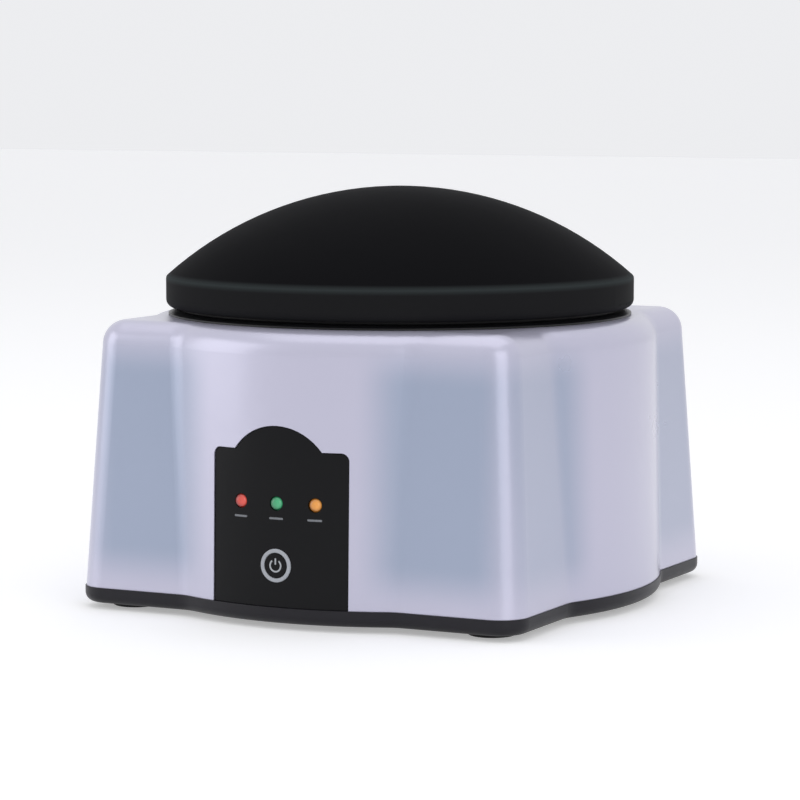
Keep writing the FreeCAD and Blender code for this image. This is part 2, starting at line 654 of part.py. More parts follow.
def lamp_leads(x):
    """The two square wires from a lamp's body to the board."""
    back = -bulge_y(x, led_z, PANEL_RECESS) - LED_STAND_OUT + LED_LENGTH
    return [block(at - LEAD_HALF, at + LEAD_HALF, back, board_face_y, led_z - LEAD_HALF, led_z + LEAD_HALF)
            for at in (x - LEAD_PITCH / 2, x + LEAD_PITCH / 2)]


def trim_ring():
    """The bright ring let into the panel round the button."""
    front = (0, ring_seat_y - TRIM_RING_SINK - TRIM_RING_PROUD, button_z)
    ring = tube(trim_ring_r, BUTTON_R + BUTTON_GAP, TRIM_RING_SINK + TRIM_RING_PROUD, front, BACK)
    edges = [e for e in ring.Edges if e.BoundBox.YMax < front[1] + 1e-3]
    return ring.makeFillet(TRIM_RING_ROUND, edges)


def power_button():
    """The round key: a cap in the ring, a collar behind the panel and a stem to the switch."""
    cap_y = ring_seat_y - TRIM_RING_SINK - BUTTON_PROUD
    collar_y = pocket_y + BUTTON_GAP / 2
    key = cylinder(BUTTON_R, collar_y - cap_y, (0, cap_y, button_z), BACK)
    rim = [e for e in key.Edges if e.BoundBox.YMax < cap_y + 1e-3]
    key = key.makeFillet(BUTTON_EDGE_ROUND, rim)
    collar = cylinder(BUTTON_R + BUTTON_COLLAR, BUTTON_COLLAR_LENGTH, (0, collar_y, button_z), BACK)
    stem = cylinder(STEM_R, plunger_tip_y - collar_y, (0, collar_y, button_z), BACK)
    return fused([key, collar, stem])


def switch_plunger():
    """The switch's own pin, which the button pushes."""
    return cylinder(PLUNGER_R, PLUNGER_OUT + PLUNGER_IN, (0, plunger_tip_y, button_z), BACK)


def tact_switch():
    """The square switch body on the board, with the hole that its plunger runs in."""
    front = board_face_y - TACT_BODY
    body = block(-TACT_HALF, TACT_HALF, front, board_face_y, button_z - TACT_HALF, button_z + TACT_HALF)
    well = cylinder(PLUNGER_R + SCREW_GAP, PLUNGER_IN + 2 * BUTTON_TRAVEL, (0, front, button_z), BACK)
    return body.cut(well)


def control_board():
    """The upright board behind the panel, with its screw holes."""
    board = block(-BOARD_HALF_WIDTH, BOARD_HALF_WIDTH, board_face_y, board_back_y,
                  SHELL_Z + BOARD_LOW, SHELL_Z + BOARD_HIGH)
    return board.cut([cylinder(SMALL_SCREW_R + PASS_GAP, BOARD_THICKNESS, (x, board_face_y, z), BACK)
                      for x, z in board_holes])


def control_screw(x, z):
    length = BOARD_THICKNESS + SMALL_SCREW_GRIP
    return screw(SMALL_HEAD_R, SMALL_HEAD_HEIGHT, SMALL_SCREW_R, length, (x, board_back_y, z), FRONT)


# ---------------------------------------------------------------- collar, tray and tank

def seat_collar():
    """The black ring on the deck: a sloping outer edge, a ledge for the tray, a skirt through the deck."""
    return spun([
        (opening_r, DECK_UNDER_Z), (opening_r + SKIRT_THICKNESS, DECK_UNDER_Z),
        (opening_r + SKIRT_THICKNESS, DECK_Z), (seat_r, DECK_Z), (seat_r, DECK_Z + SEAT_TIP),
        (seat_r - SEAT_SLOPE, SEAT_TOP_Z), (tray_rim_r + FIT_GAP, SEAT_TOP_Z),
        (tray_rim_r + FIT_GAP, LEDGE_Z), (opening_r, LEDGE_Z),
    ])


def finger_tray():
    """The lift-out tray: a dish with a domed palm rest and five finger openings in its floor."""
    dish = spun([
        (0, TRAY_UNDER_Z), (tray_r, TRAY_UNDER_Z), (tray_r, LEDGE_Z), (tray_rim_r, LEDGE_Z),
        (tray_rim_r, SEAT_TOP_Z), (tray_r - TRAY_WALL, SEAT_TOP_Z),
        (tray_r - TRAY_WALL, TRAY_FLOOR_Z), (0, TRAY_FLOOR_Z),
    ])
    palm = cap(palm_r, PALM_RISE, TRAY_FLOOR_Z)
    under_palm = cap(palm_r - TRAY_WALL, PALM_RISE - TRAY_WALL, TRAY_FLOOR_Z)
    under_palm = under_palm.fuse(cylinder(palm_r - TRAY_WALL, TRAY_WALL, (0, 0, TRAY_UNDER_Z)))
    tray = dish.fuse(palm).cut(under_palm).removeSplitter()
    tray = tray.makeFillet(TRAY_WALL, circle_edges(tray, palm_r, TRAY_FLOOR_Z))
    tray = fused([tray, *[turned(lift_tab(), angle) for angle in LIFT_TAB_ANGLES]])
    hole = slot(FINGER_HALF_WIDTH, FINGER_LENGTH, TRAY_UNDER_Z - OVERRUN,
                TRAY_FLOOR_Z + OVERRUN, finger_at_r)
    return tray.cut([turned(hole, angle) for angle in finger_angles])


def lift_tab():
    """A small shelf inside the tray's edge, for a finger tip to lift it by."""
    wall_in = tray_r - TRAY_WALL
    tab_out = wall_in + TRAY_WALL / 2
    shelf = block(wall_in - LIFT_TAB_REACH, tab_out, -LIFT_TAB_HALF_WIDTH, LIFT_TAB_HALF_WIDTH,
                  SEAT_TOP_Z - TRAY_RIM_THICKNESS, SEAT_TOP_Z)
    inner = [e for e in shelf.Edges
             if e.BoundBox.ZLength > TRAY_RIM_THICKNESS / 2 and e.BoundBox.XMax < wall_in]
    return shelf.makeFillet(LIFT_TAB_CORNER_R, inner)


def finger_seal():
    """A soft grommet in one finger opening: a lip over and under the tray floor, and a wall between."""
    lip = slot(FINGER_HALF_WIDTH + GROMMET_LIP, FINGER_LENGTH + 2 * GROMMET_LIP,
               TRAY_UNDER_Z - GROMMET_HEIGHT, TRAY_FLOOR_Z + GROMMET_HEIGHT, finger_at_r)
    top = [e for e in lip.Edges if e.BoundBox.ZMin > TRAY_FLOOR_Z + GROMMET_HEIGHT - 1e-3]
    lip = lip.makeFillet(GROMMET_HEIGHT / 2, top)
    groove = slot(FINGER_HALF_WIDTH + 2 * GROMMET_LIP, FINGER_LENGTH + 4 * GROMMET_LIP,
                  TRAY_UNDER_Z, TRAY_FLOOR_Z, finger_at_r)
    neck = slot(FINGER_HALF_WIDTH, FINGER_LENGTH, TRAY_UNDER_Z, TRAY_FLOOR_Z, finger_at_r)
    way = slot(FINGER_HALF_WIDTH - GROMMET_WALL, FINGER_LENGTH - 2 * GROMMET_WALL,
               TRAY_UNDER_Z - 2 * GROMMET_HEIGHT, TRAY_FLOOR_Z + 2 * GROMMET_HEIGHT, finger_at_r)
    return lip.cut(groove).fuse(neck).cut(way).removeSplitter()


def steam_tank():
    """The pressed steel bowl for the remover: a drafted wall, a rounded floor and a flange with ears."""
    floor_r = tank_r - TANK_DRAFT
    outer = Part.makeCone(floor_r + TANK_SHEET, tank_r + TANK_SHEET, TANK_TOP_Z - TANK_UNDER_Z,
                          Vector(0, 0, TANK_UNDER_Z))
    heel = circle_edges(outer, floor_r + TANK_SHEET, TANK_UNDER_Z)
    outer = outer.makeFillet(TANK_CORNER_R + TANK_SHEET, heel)
    inner = Part.makeCone(floor_r, tank_r, TANK_DEPTH, Vector(0, 0, TANK_FLOOR_Z))
    inner = inner.makeFillet(TANK_CORNER_R, circle_edges(inner, floor_r, TANK_FLOOR_Z))
    flange = cylinder(tank_flange_r, TANK_SHEET, (0, 0, TANK_TOP_Z - TANK_SHEET))
    ears = []
    for quarter in range(4):
        ear = block(tank_r, ear_at_r, -EAR_R, EAR_R, TANK_TOP_Z - TANK_SHEET, TANK_TOP_Z)
        ear = ear.fuse(cylinder(EAR_R, TANK_SHEET, (ear_at_r, 0, TANK_TOP_Z - TANK_SHEET)))
        ears.append(turned(ear, 45 + 90 * quarter))
    bowl = fused([outer, flange, *ears])
    cuts = [inner]
    cuts += [cylinder(SCREW_R + PASS_GAP, 2 * TANK_SHEET, (x, y, TANK_TOP_Z - 1.5 * TANK_SHEET))
             for x, y in diagonal_places(ear_at_r)]
    return bowl.cut(cuts)


def tank_gasket():
    """The flat seal between the tank's flange and the deck."""
    return tube(tank_flange_r, deck_hole_r + FIT_GAP, GASKET_THICKNESS, (0, 0, TANK_TOP_Z))


def tank_screw(x, y):
    under_head = (x, y, TANK_TOP_Z - TANK_SHEET)
    return screw(SCREW_HEAD_R, SCREW_HEAD_HEIGHT, SCREW_R, TANK_SHEET + EAR_SCREW_GRIP, under_head, UP)


def tank_stud(x, y):
    """A stud welded to the underside of the tank."""
    return cylinder(STUD_R, TANK_UNDER_Z - CLAMP_UNDER_Z + STUD_BELOW_CLAMP,
                    (x, y, CLAMP_UNDER_Z - STUD_BELOW_CLAMP))


def nut(x, y, top_z):
    """A hexagon nut on a stud, its upper face at top_z."""
    across_corners = NUT_FLATS_HALF / math.cos(math.pi / 6)
    points = [Vector(x + across_corners * math.cos(n * math.pi / 3),
                     y + across_corners * math.sin(n * math.pi / 3), top_z - NUT_HEIGHT) for n in range(6)]
    hexagon = Part.Face(Part.makePolygon(points + points[:1])).extrude(Vector(0, 0, NUT_HEIGHT))
    return hexagon.cut(cylinder(STUD_R + SCREW_GAP, NUT_HEIGHT, (x, y, top_z - NUT_HEIGHT)))


# ---------------------------------------------------------------- heater

def tab(x, y, top_z):
    """A flat blade terminal that hangs from top_z."""
    return block(x - TAB_SHEET / 2, x + TAB_SHEET / 2, y - TAB_WIDTH / 2, y + TAB_WIDTH / 2,
                 top_z - TAB_LENGTH, top_z)


def heater():
    """The flat ring heater under the tank floor, with its two blade terminals."""
    plate = tube(HEATER_R, HEATER_HOLE_R, HEATER_THICKNESS, (0, 0, HEATER_UNDER_Z))
    blades = [tab(HEATER_TAB_AT[0], side * HEATER_TAB_AT[1], HEATER_UNDER_Z + TAB_SHEET) for side in (1, -1)]
    return fused([plate, *blades])


def heater_clamp():
    """The sheet-metal cross that presses the heater to the tank."""
    reach = STUD_AT_R + CLAMP_ARM_HALF
    hub = cylinder(CLAMP_HUB_R, CLAMP_SHEET, (0, 0, CLAMP_UNDER_Z))
    arm = slot(CLAMP_ARM_HALF, 2 * reach, CLAMP_UNDER_Z, HEATER_UNDER_Z)
    holes = [cylinder(STUD_R + PASS_GAP, CLAMP_SHEET, (x, y, CLAMP_UNDER_Z))
             for x, y in diagonal_places(STUD_AT_R)]
    holes.append(cylinder(THERMOSTAT_BODY_R + FIT_GAP, CLAMP_SHEET, (0, 0, CLAMP_UNDER_Z)))
    return fused([hub, turned(arm, 45), turned(arm, -45)]).cut(holes)


def thermostat():
    """The disc thermostat in the middle of the heater: a metal cap on the tank, and its body below."""
    cap_piece = cylinder(THERMOSTAT_R, HEATER_THICKNESS, (0, 0, HEATER_UNDER_Z))
    body = cylinder(THERMOSTAT_BODY_R, THERMOSTAT_BODY, (0, 0, HEATER_UNDER_Z - THERMOSTAT_BODY))
    blades = [tab(0, side * THERMOSTAT_BODY_R / 2, HEATER_UNDER_Z - THERMOSTAT_BODY) for side in (1, -1)]
    return fused([cap_piece, body, *blades])


def thermal_cutout():
    """The one-shot cut-out that lies against the heater."""
    half_x, half_y = CUTOUT_HALF
    return block(-half_x, half_x, CUTOUT_AT_Y - half_y, CUTOUT_AT_Y + half_y,
                 HEATER_UNDER_Z - CUTOUT_HEIGHT, HEATER_UNDER_Z)


# ---------------------------------------------------------------- lid

def lid_profile(r, crease_z, rise, bottom_z):
    """A cap on a short round wall, as one solid."""
    return cap(r, rise, crease_z).fuse(cylinder(r, crease_z - bottom_z, (0, 0, bottom_z))).removeSplitter()


def lid_dome():
    """The black domed lid: a thin dome on a thicker rim with a soft lower edge."""
    outside = lid_profile(lid_r, LID_CREASE_Z, LID_RISE, LID_BOTTOM_Z)
    outside = outside.makeFillet(LID_CREASE_ROUND, circle_edges(outside, lid_r, LID_CREASE_Z))
    outside = outside.makeFillet(LID_EDGE_ROUND, circle_edges(outside, lid_r, LID_BOTTOM_Z))
    edge_in = lid_r - LID_EDGE_WIDTH
    inside_rise = LID_RISE * (edge_in / lid_r) ** 2
    return outside.cut(lid_profile(edge_in, LID_CREASE_Z - LID_WALL, inside_rise, LID_BOTTOM_Z))


def lid_ring():
    """The ring pressed into the lid: its neck stands in the groove over the collar."""
    outer_r = lid_r - LID_EDGE_WIDTH
    return spun([
        (neck_r - LID_NECK_WALL, SEAT_TOP_Z + LID_GASKET_HEIGHT), (neck_r, SEAT_TOP_Z + LID_GASKET_HEIGHT),
        (neck_r, LID_BOTTOM_Z), (outer_r, LID_BOTTOM_Z), (outer_r, LID_BOTTOM_Z + LID_RING_THICKNESS),
        (neck_r - LID_NECK_WALL, LID_BOTTOM_Z + LID_RING_THICKNESS),
    ])


def lid_gasket():
    """The flat seal under the neck that rests on the collar."""
    return tube(neck_r, neck_r - LID_NECK_WALL, LID_GASKET_HEIGHT, (0, 0, SEAT_TOP_Z))


# ---------------------------------------------------------------- power board

def on_board(size, at):
    """A block that stands on the power board."""
    (length, width, height), (x, y) = size, at
    return block(x - length / 2, x + length / 2, y - width / 2, y + width / 2,
                 POWER_TOP_Z, POWER_TOP_Z + height)


def power_board():
    board = block(-POWER_HALF_X, POWER_HALF_X, POWER_FRONT, POWER_BACK, POWER_UNDER_Z, POWER_TOP_Z)
    return board.cut([cylinder(SMALL_SCREW_R + PASS_GAP, BOARD_THICKNESS, (x, y, POWER_UNDER_Z))
                      for x, y in power_holes])


def power_screw(x, y):
    return screw(SMALL_HEAD_R, SMALL_HEAD_HEIGHT, SMALL_SCREW_R, BOARD_THICKNESS + SMALL_SCREW_GRIP,
                 (x, y, POWER_TOP_Z), DOWN)


def transformer_winding():
    """The wound bobbin, which fills the window of the core."""
    return on_board(BOBBIN_SIZE, CORE_AT)


def transformer_core():
    """The laminated core: a standing ring round the bobbin."""
    x, y = CORE_AT
    window = block(x - CORE_SIZE[0], x + CORE_SIZE[0], y - BOBBIN_SIZE[1] / 2, y + BOBBIN_SIZE[1] / 2,
                   POWER_TOP_Z, POWER_TOP_Z + BOBBIN_SIZE[2])
    return on_board(CORE_SIZE, CORE_AT).cut(window)


def relay():
    body = on_board(RELAY_SIZE, RELAY_AT)
    return body.makeFillet(RELAY_ROUND, [e for e in body.Edges if e.BoundBox.ZMin > POWER_TOP_Z + 1e-3])


def capacitor():
    return cylinder(CAPACITOR_R, CAPACITOR_HEIGHT, (*CAPACITOR_AT, POWER_TOP_Z))


def fuse():
    """A glass fuse with a metal cap at each end, lying along X."""
    x, y = FUSE_AT
    return cylinder(FUSE_R, FUSE_LENGTH, (x - FUSE_LENGTH / 2, y, fuse_z), RIGHT)


def fuse_clip(side):
    """A sprung clip that holds one end of the fuse."""
    x, y = FUSE_AT
    middle = x + side * (FUSE_LENGTH / 2 - FUSE_CAP / 2)
    half = FUSE_R + CLIP_SHEET
    clip = block(middle - CLIP_HALF, middle + CLIP_HALF, y - half, y + half,
                 POWER_TOP_Z, POWER_TOP_Z + FUSE_LIFT)
    return clip.cut(cylinder(FUSE_R, FUSE_LENGTH, (middle - FUSE_LENGTH / 2, y, fuse_z), RIGHT))


def terminal_block():
    """A row of screw terminals, with the wire holes in their backs and the screw wells on top."""
    body = on_board(TERMINAL_SIZE, TERMINAL_AT)
    back_y = TERMINAL_AT[1] + TERMINAL_SIZE[1] / 2
    cuts = []
    for x in terminal_columns:
        cuts.append(cylinder(TERMINAL_HOLE_R, TERMINAL_HOLE_DEPTH, (x, back_y, terminal_z), FRONT))
        cuts.append(cylinder(TERMINAL_HOLE_R, TERMINAL_HOLE_DEPTH / 2,
                             (x, TERMINAL_AT[1], POWER_TOP_Z + TERMINAL_SIZE[2]), DOWN))
    return body.cut(cuts)


# ---------------------------------------------------------------- mains inlet

def inlet_outline(inset, y, length):
    """The socket's six-sided section, with its two upper corners cut off, carried along Y."""
    half_x, half_z = (half - inset for half in INLET_BODY_HALF)
    cut = INLET_CUT_CORNER - inset * (2 - math.sqrt(2))
    points = [(-half_x, -half_z), (half_x, -half_z), (half_x, half_z - cut), (half_x - cut, half_z),
              (cut - half_x, half_z), (-half_x, half_z - cut)]
    loop = [Vector(x, y, INLET_Z + z) for x, z in points]
    return Part.Face(Part.makePolygon(loop + loop[:1])).extrude(Vector(0, length, 0))


def mains_inlet():
    """The moulded socket at the back: a flange in its pocket and a deep six-sided well."""
    flange_x, flange_z = INLET_FLANGE_HALF
    flange = block(-flange_x, flange_x, inlet_seat_y, inlet_seat_y + INLET_FLANGE,
                   INLET_Z - flange_z, INLET_Z + flange_z)
    upright = [e for e in flange.Edges if e.BoundBox.YLength > INLET_FLANGE - 1e-3]
    flange = flange.makeFillet(INLET_WALL, upright)
    body = inlet_outline(0, inlet_back_y, inlet_seat_y - inlet_back_y)
    well = inlet_outline(INLET_WALL, inlet_back_y + INLET_FLOOR, INLET_DEPTH + INLET_FLANGE)
    holes = [inlet_pin_block(x, z, PIN_HALF_WIDTH, inlet_back_y, INLET_FLOOR) for x, z in pin_places]
    return flange.fuse(body).cut([well, *holes])


def inlet_pin_block(x, z, half_width, y, length):
    """One stretch of a pin or its slot, along Y."""
    return block(x - PIN_HALF_THICKNESS, x + PIN_HALF_THICKNESS, y, y + length,
                 z - half_width, z + half_width)


def inlet_pin(x, z):
    """A flat pin in the socket, and the blade behind it that takes the wire."""
    pin = inlet_pin_block(x, z, PIN_HALF_WIDTH, inlet_back_y, INLET_FLOOR + PIN_LENGTH)
    blade = block(x - TAB_SHEET / 2, x + TAB_SHEET / 2, inlet_back_y - TAB_LENGTH, inlet_back_y,
                  z - TAB_WIDTH / 2, z + TAB_WIDTH / 2)
    return pin.fuse(blade)


# ---------------------------------------------------------------- leads

def board_plugs():
    """The two white plugs of the control lead, one on each board."""
    x = PLUG_HALF_X
    upright = block(-x, x, power_plug_y - PLUG_HALF, power_plug_y + PLUG_HALF,
                    POWER_TOP_Z, POWER_TOP_Z + PLUG_LENGTH)
    lying = block(-x, x, board_back_y, board_back_y + PLUG_LENGTH,
                  control_plug_z - PLUG_HALF, control_plug_z + PLUG_HALF)
    return [upright, lying]


def control_lead():
    """The bundle between the two boards."""
    start = Vector(0, board_back_y + PLUG_LENGTH, control_plug_z)
    end = Vector(0, power_plug_y, POWER_TOP_Z + PLUG_LENGTH)
    route = [start, start + Vector(0, 14, 0), Vector(2, -46, 33), end + Vector(0, 0, 14), end]
    return cable(route, BUNDLE_R)


def heater_leads():
    """From the heater's two blades, round the boards, into the terminal block."""
    x, y = HEATER_TAB_AT
    top = HEATER_UNDER_Z + TAB_SHEET - TAB_LENGTH
    near = [(x, y, top), (x, y, top - 12), (38, 34, 28), (30, 60, 20)]
    far = [(x, -y, top), (x, -y, top - 14), (46, 20, 27), (44, 50, 22), (24, 68, 22)]
    near += [(terminal_columns[3], 61, terminal_z), (terminal_columns[3], terminal_end_y, terminal_z)]
    far += [(terminal_columns[2], 66, terminal_z + 1), (terminal_columns[2], terminal_end_y, terminal_z)]
    return [cable(near, WIRE_R), cable(far, WIRE_R)]


def inlet_leads():
    """From the live and neutral blades of the inlet into the terminal block."""
    blade_y = inlet_back_y - TAB_LENGTH
    leads = []
    for (x, z), column in zip(pin_places[:2], terminal_columns[:2]):
        points = [(x, blade_y, z), (x, blade_y - 8, z), (column, 58, terminal_z),
                  (column, terminal_end_y, terminal_z)]
        leads.append(cable(points, WIRE_R))
    return leads


def earth_tag():
    """The ring tag between two nuts on one stud, with the tongue that holds the earth lead."""
    x = y = STUD_AT_R * math.sqrt(0.5)
    ring = cylinder(EARTH_TAG_R, TAB_SHEET, (x, y, earth_tag_z))
    tongue = block(x - EARTH_TAG_HALF, x + EARTH_TAG_HALF, y, y + EARTH_TAG_REACH,
                   earth_tag_z, earth_tag_z + TAB_SHEET)
    return fused([ring, tongue]).cut(cylinder(STUD_R + PASS_GAP, TAB_SHEET, (x, y, earth_tag_z)))


def earth_lead():
    """From the tag on the tank's stud to the earth blade of the inlet."""
    x = y = STUD_AT_R * math.sqrt(0.5)
    start = Vector(x, y + EARTH_TAG_REACH, earth_tag_z + TAB_SHEET / 2)
    blade = Vector(pin_places[2][0], inlet_back_y - TAB_LENGTH, pin_places[2][1])
    return cable([start, start + Vector(0, 11, 0), Vector(24, 62, 44), Vector(10, 58, 38),
                  blade + Vector(0, -11, 0), blade], WIRE_R)


def thermostat_leads():
    """From the thermostat's blades down to the power board."""
    top = HEATER_UNDER_Z - THERMOSTAT_BODY - TAB_LENGTH
    y = THERMOSTAT_BODY_R / 2
    return [
        cable([(0, y, top), (0, y, top - 7), (8, 15, 24), (8, 15, POWER_TOP_Z)], WIRE_R),
        cable([(0, -y, top), (0, -y, top - 7), (9, -1, 24), (9, -1, POWER_TOP_Z)], WIRE_R),
    ]


def cutout_leads():
    """From the two ends of the thermal cut-out to the front of the power board."""
    leads = []
    for side in (-1, 1):
        start = Vector(side * CUTOUT_HALF[0], CUTOUT_AT_Y, HEATER_UNDER_Z - CUTOUT_HEIGHT / 2)
        points = [start, start + Vector(side * 7, 0, 0), Vector(side * 19, -32, 38),
                  Vector(side * 11, -26, 28), Vector(side * 11, -26, POWER_TOP_Z)]
        leads.append(cable(points, WIRE_R))
    return leads


# ---------------------------------------------------------------- the nodes

nodes = {
    "housing_shell": [housing_shell()],
    "base_tray": [base_tray()],
    "rubber_feet": [rubber_foot(x, y) for x, y in foot_places],
    "base_screws": [base_screw(x, y) for x, y in foot_places],
    "control_panel": [control_panel()],
    "red_lamp": [lamp(led_columns[0])],
    "green_lamp": [lamp(led_columns[1])],
    "amber_lamp": [lamp(led_columns[2])],
    "lamp_leads": [lead for x in led_columns for lead in lamp_leads(x)],
    "trim_ring": [trim_ring()],
    "power_button": [power_button()],
    "switch_plunger": [switch_plunger()],
    "tact_switch": [tact_switch()],
    "control_board": [control_board()],
    "control_board_screws": [control_screw(x, z) for x, z in board_holes],
    "seat_collar": [seat_collar()],
    "finger_tray": [finger_tray()],
    "finger_seals": [turned(finger_seal(), angle) for angle in finger_angles],
    "steam_tank": [steam_tank()],
    "tank_gasket": [tank_gasket()],
    "tank_screws": [tank_screw(x, y) for x, y in diagonal_places(ear_at_r)],
    "tank_studs": [tank_stud(x, y) for x, y in diagonal_places(STUD_AT_R)],
    "clamp_nuts": [nut(x, y, CLAMP_UNDER_Z) for x, y in diagonal_places(STUD_AT_R)]
                  + [nut(*diagonal_places(STUD_AT_R)[0], earth_tag_z)],
    "heater": [heater()],
    "heater_clamp": [heater_clamp()],
    "thermostat": [thermostat()],
    "thermal_cutout": [thermal_cutout()],
    "lid_dome": [lid_dome()],
    "lid_ring": [lid_ring()],
    "lid_gasket": [lid_gasket()],
    "power_board": [power_board()],
    "power_board_screws": [power_screw(x, y) for x, y in power_holes],
    "transformer_winding": [transformer_winding()],
    "transformer_core": [transformer_core()],
    "relay": [relay()],
    "capacitor": [capacitor()],
    "fuse": [fuse()],
    "fuse_clips": [fuse_clip(side) for side in (-1, 1)],
    "terminal_block": [terminal_block()],
    "mains_inlet": [mains_inlet()],
    "inlet_pins": [inlet_pin(x, z) for x, z in pin_places],
    "board_plugs": board_plugs(),
    "control_lead": [control_lead()],
    "heater_leads": heater_leads(),
    "inlet_leads": inlet_leads(),
    "earth_tag": [earth_tag()],
    "earth_lead": [earth_lead()],
    "thermostat_leads": thermostat_leads(),
    "cutout_leads": cutout_leads(),
}

os.makedirs("parts", exist_ok=True)
for name, solids in nodes.items():
    piece = solids[0] if len(solids) == 1 else Part.makeCompound(solids)
    piece.exportStep("parts/" + name + ".step")
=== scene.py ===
import math

import bmesh
import bpy
from mathutils import Matrix, Vector


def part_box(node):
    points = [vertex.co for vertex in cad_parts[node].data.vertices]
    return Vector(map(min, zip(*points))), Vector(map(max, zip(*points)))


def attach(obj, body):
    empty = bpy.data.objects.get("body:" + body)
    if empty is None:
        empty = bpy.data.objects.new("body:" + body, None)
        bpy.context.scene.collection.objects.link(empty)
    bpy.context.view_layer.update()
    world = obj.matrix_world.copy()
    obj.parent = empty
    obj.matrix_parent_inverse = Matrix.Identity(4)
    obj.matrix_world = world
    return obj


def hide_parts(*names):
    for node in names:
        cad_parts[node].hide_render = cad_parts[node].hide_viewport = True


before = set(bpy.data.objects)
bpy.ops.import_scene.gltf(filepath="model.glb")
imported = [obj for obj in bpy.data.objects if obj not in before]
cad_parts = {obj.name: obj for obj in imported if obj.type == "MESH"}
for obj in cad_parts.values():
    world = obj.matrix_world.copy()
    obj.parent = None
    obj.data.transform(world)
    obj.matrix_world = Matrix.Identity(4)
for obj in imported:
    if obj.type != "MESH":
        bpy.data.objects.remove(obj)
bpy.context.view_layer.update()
MM = 0.001
scene = bpy.context.scene
scene.view_settings.view_transform = "Standard"


# ---- camera -------------------------------------------------------------------------------
# The machine is seen from a little right of its front panel and from just above the lid's edge,
# through a long lens that fills most of the frame with it.

CAMERA_PLACE = Vector((0.5542, -1.1027, 0.1980))
CAMERA_AIM = Vector((0.0, 0.0, 0.0735))
CAMERA_LENS_MM = 146.0

camera = bpy.data.objects.new("camera", bpy.data.cameras.new("camera"))
scene.collection.objects.link(camera)
camera.data.lens = CAMERA_LENS_MM
camera.location = CAMERA_PLACE
camera.rotation_mode = "QUATERNION"
camera.rotation_quaternion = (CAMERA_AIM - CAMERA_PLACE).to_track_quat("-Z", "Y")
scene.camera = camera


# ---- studio -------------------------------------------------------------------------------
# A pale floor before a pale backdrop, a tall softbox at each side and a wide one
# overhead. The world is a plain soft fill, and shows as near white behind the machine.

FLOOR_HALF = 6.0
FLOOR_COLOUR = (0.80, 0.80, 0.81, 1.0)
FLOOR_GLOW = 0.36
SIDE_BOX_WIDTH, SIDE_BOX_HEIGHT, SIDE_BOX_AIM = 1.0, 1.2, (0.0, 0.0, 0.07)
LEFT_BOX_PLACE, LEFT_BOX_WATTS = (-1.30, -0.75, 0.45), 3.6
RIGHT_BOX_PLACE, RIGHT_BOX_WATTS = (1.10, -0.80, 0.45), 3.2
TOP_BOX_WIDTH, TOP_BOX_DEPTH, TOP_BOX_AIM = 1.8, 1.6, (0.0, 0.0, 0.1)
TOP_BOX_PLACE, TOP_BOX_WATTS = (0.0, 0.0, 1.5), 5.0
WORLD_COLOUR, WORLD_FILL = (0.92, 0.93, 0.96, 1.0), 0.66
BACKDROP_COLOUR = (0.845, 0.85, 0.87, 1.0)
SHARP_FROM = math.radians(32)


def link_piece(name, mesh):
    """A new object for a mesh, in the scene."""
    piece = bpy.data.objects.new(name, mesh)
    scene.collection.objects.link(piece)
    return piece


def mesh_from(shape, name):
    """A mesh made of a finished bmesh: faces turned outwards, smooth except over sharp edges."""
    bmesh.ops.recalc_face_normals(shape, faces=shape.faces)
    for face in shape.faces:
        face.smooth = True
    mesh = bpy.data.meshes.new(name)
    shape.to_mesh(mesh)
    shape.free()
    mesh.set_sharp_from_angle(angle=SHARP_FROM)
    return mesh


def new_material(name):
    """An empty node material, its nodes, links and Principled shader."""
    material = bpy.data.materials.new(name)
    material.use_nodes = True
    nodes = material.node_tree.nodes
    return material, nodes, material.node_tree.links, nodes["Principled BSDF"]


def seen_directly(nodes, links):
    """A factor that is 1 where the camera, a mirror or a glass looks, and 0 for light on matt things."""
    ray = nodes.new("ShaderNodeLightPath")
    mirrored = nodes.new("ShaderNodeMath")
    mirrored.operation = "ADD"
    through = nodes.new("ShaderNodeMath")
    through.operation = "ADD"
    through.use_clamp = True
    links.new(ray.outputs["Is Camera Ray"], mirrored.inputs[0])
    links.new(ray.outputs["Is Glossy Ray"], mirrored.inputs[1])
    links.new(mirrored.outputs[0], through.inputs[0])
    links.new(ray.outputs["Is Transmission Ray"], through.inputs[1])
    return through.outputs[0]


def softbox(name, place, aim, width, height, power):
    """A white rectangular lamp that faces its aim."""
    light = bpy.data.lights.new(name, "AREA")
    light.shape = "RECTANGLE"
    light.size = width
    light.size_y = height
    light.energy = power
    lamp = bpy.data.objects.new(name, light)
    scene.collection.objects.link(lamp)
    lamp.location = place
    lamp.rotation_mode = "QUATERNION"
    lamp.rotation_quaternion = (Vector(aim) - Vector(place)).to_track_quat("-Z", "Y")


floor_shape = bmesh.new()
bmesh.ops.create_grid(floor_shape, x_segments=1, y_segments=1, size=FLOOR_HALF)
floor = link_piece("studio_floor", mesh_from(floor_shape, "studio_floor"))
floor_material, nodes, links, shader = new_material("floor_paper")
shader.inputs["Base Color"].default_value = FLOOR_COLOUR
shader.inputs["Roughness"].default_value = 0.75
shader.inputs["Specular IOR Level"].default_value = 0.2
shader.inputs["Emission Color"].default_value = (1.0, 1.0, 1.0, 1.0)
glow = nodes.new("ShaderNodeMath")
glow.operation = "MULTIPLY"
glow.inputs[1].default_value = FLOOR_GLOW
links.new(seen_directly(nodes, links), glow.inputs[0])
links.new(glow.outputs[0], shader.inputs["Emission Strength"])
floor.data.materials.append(floor_material)

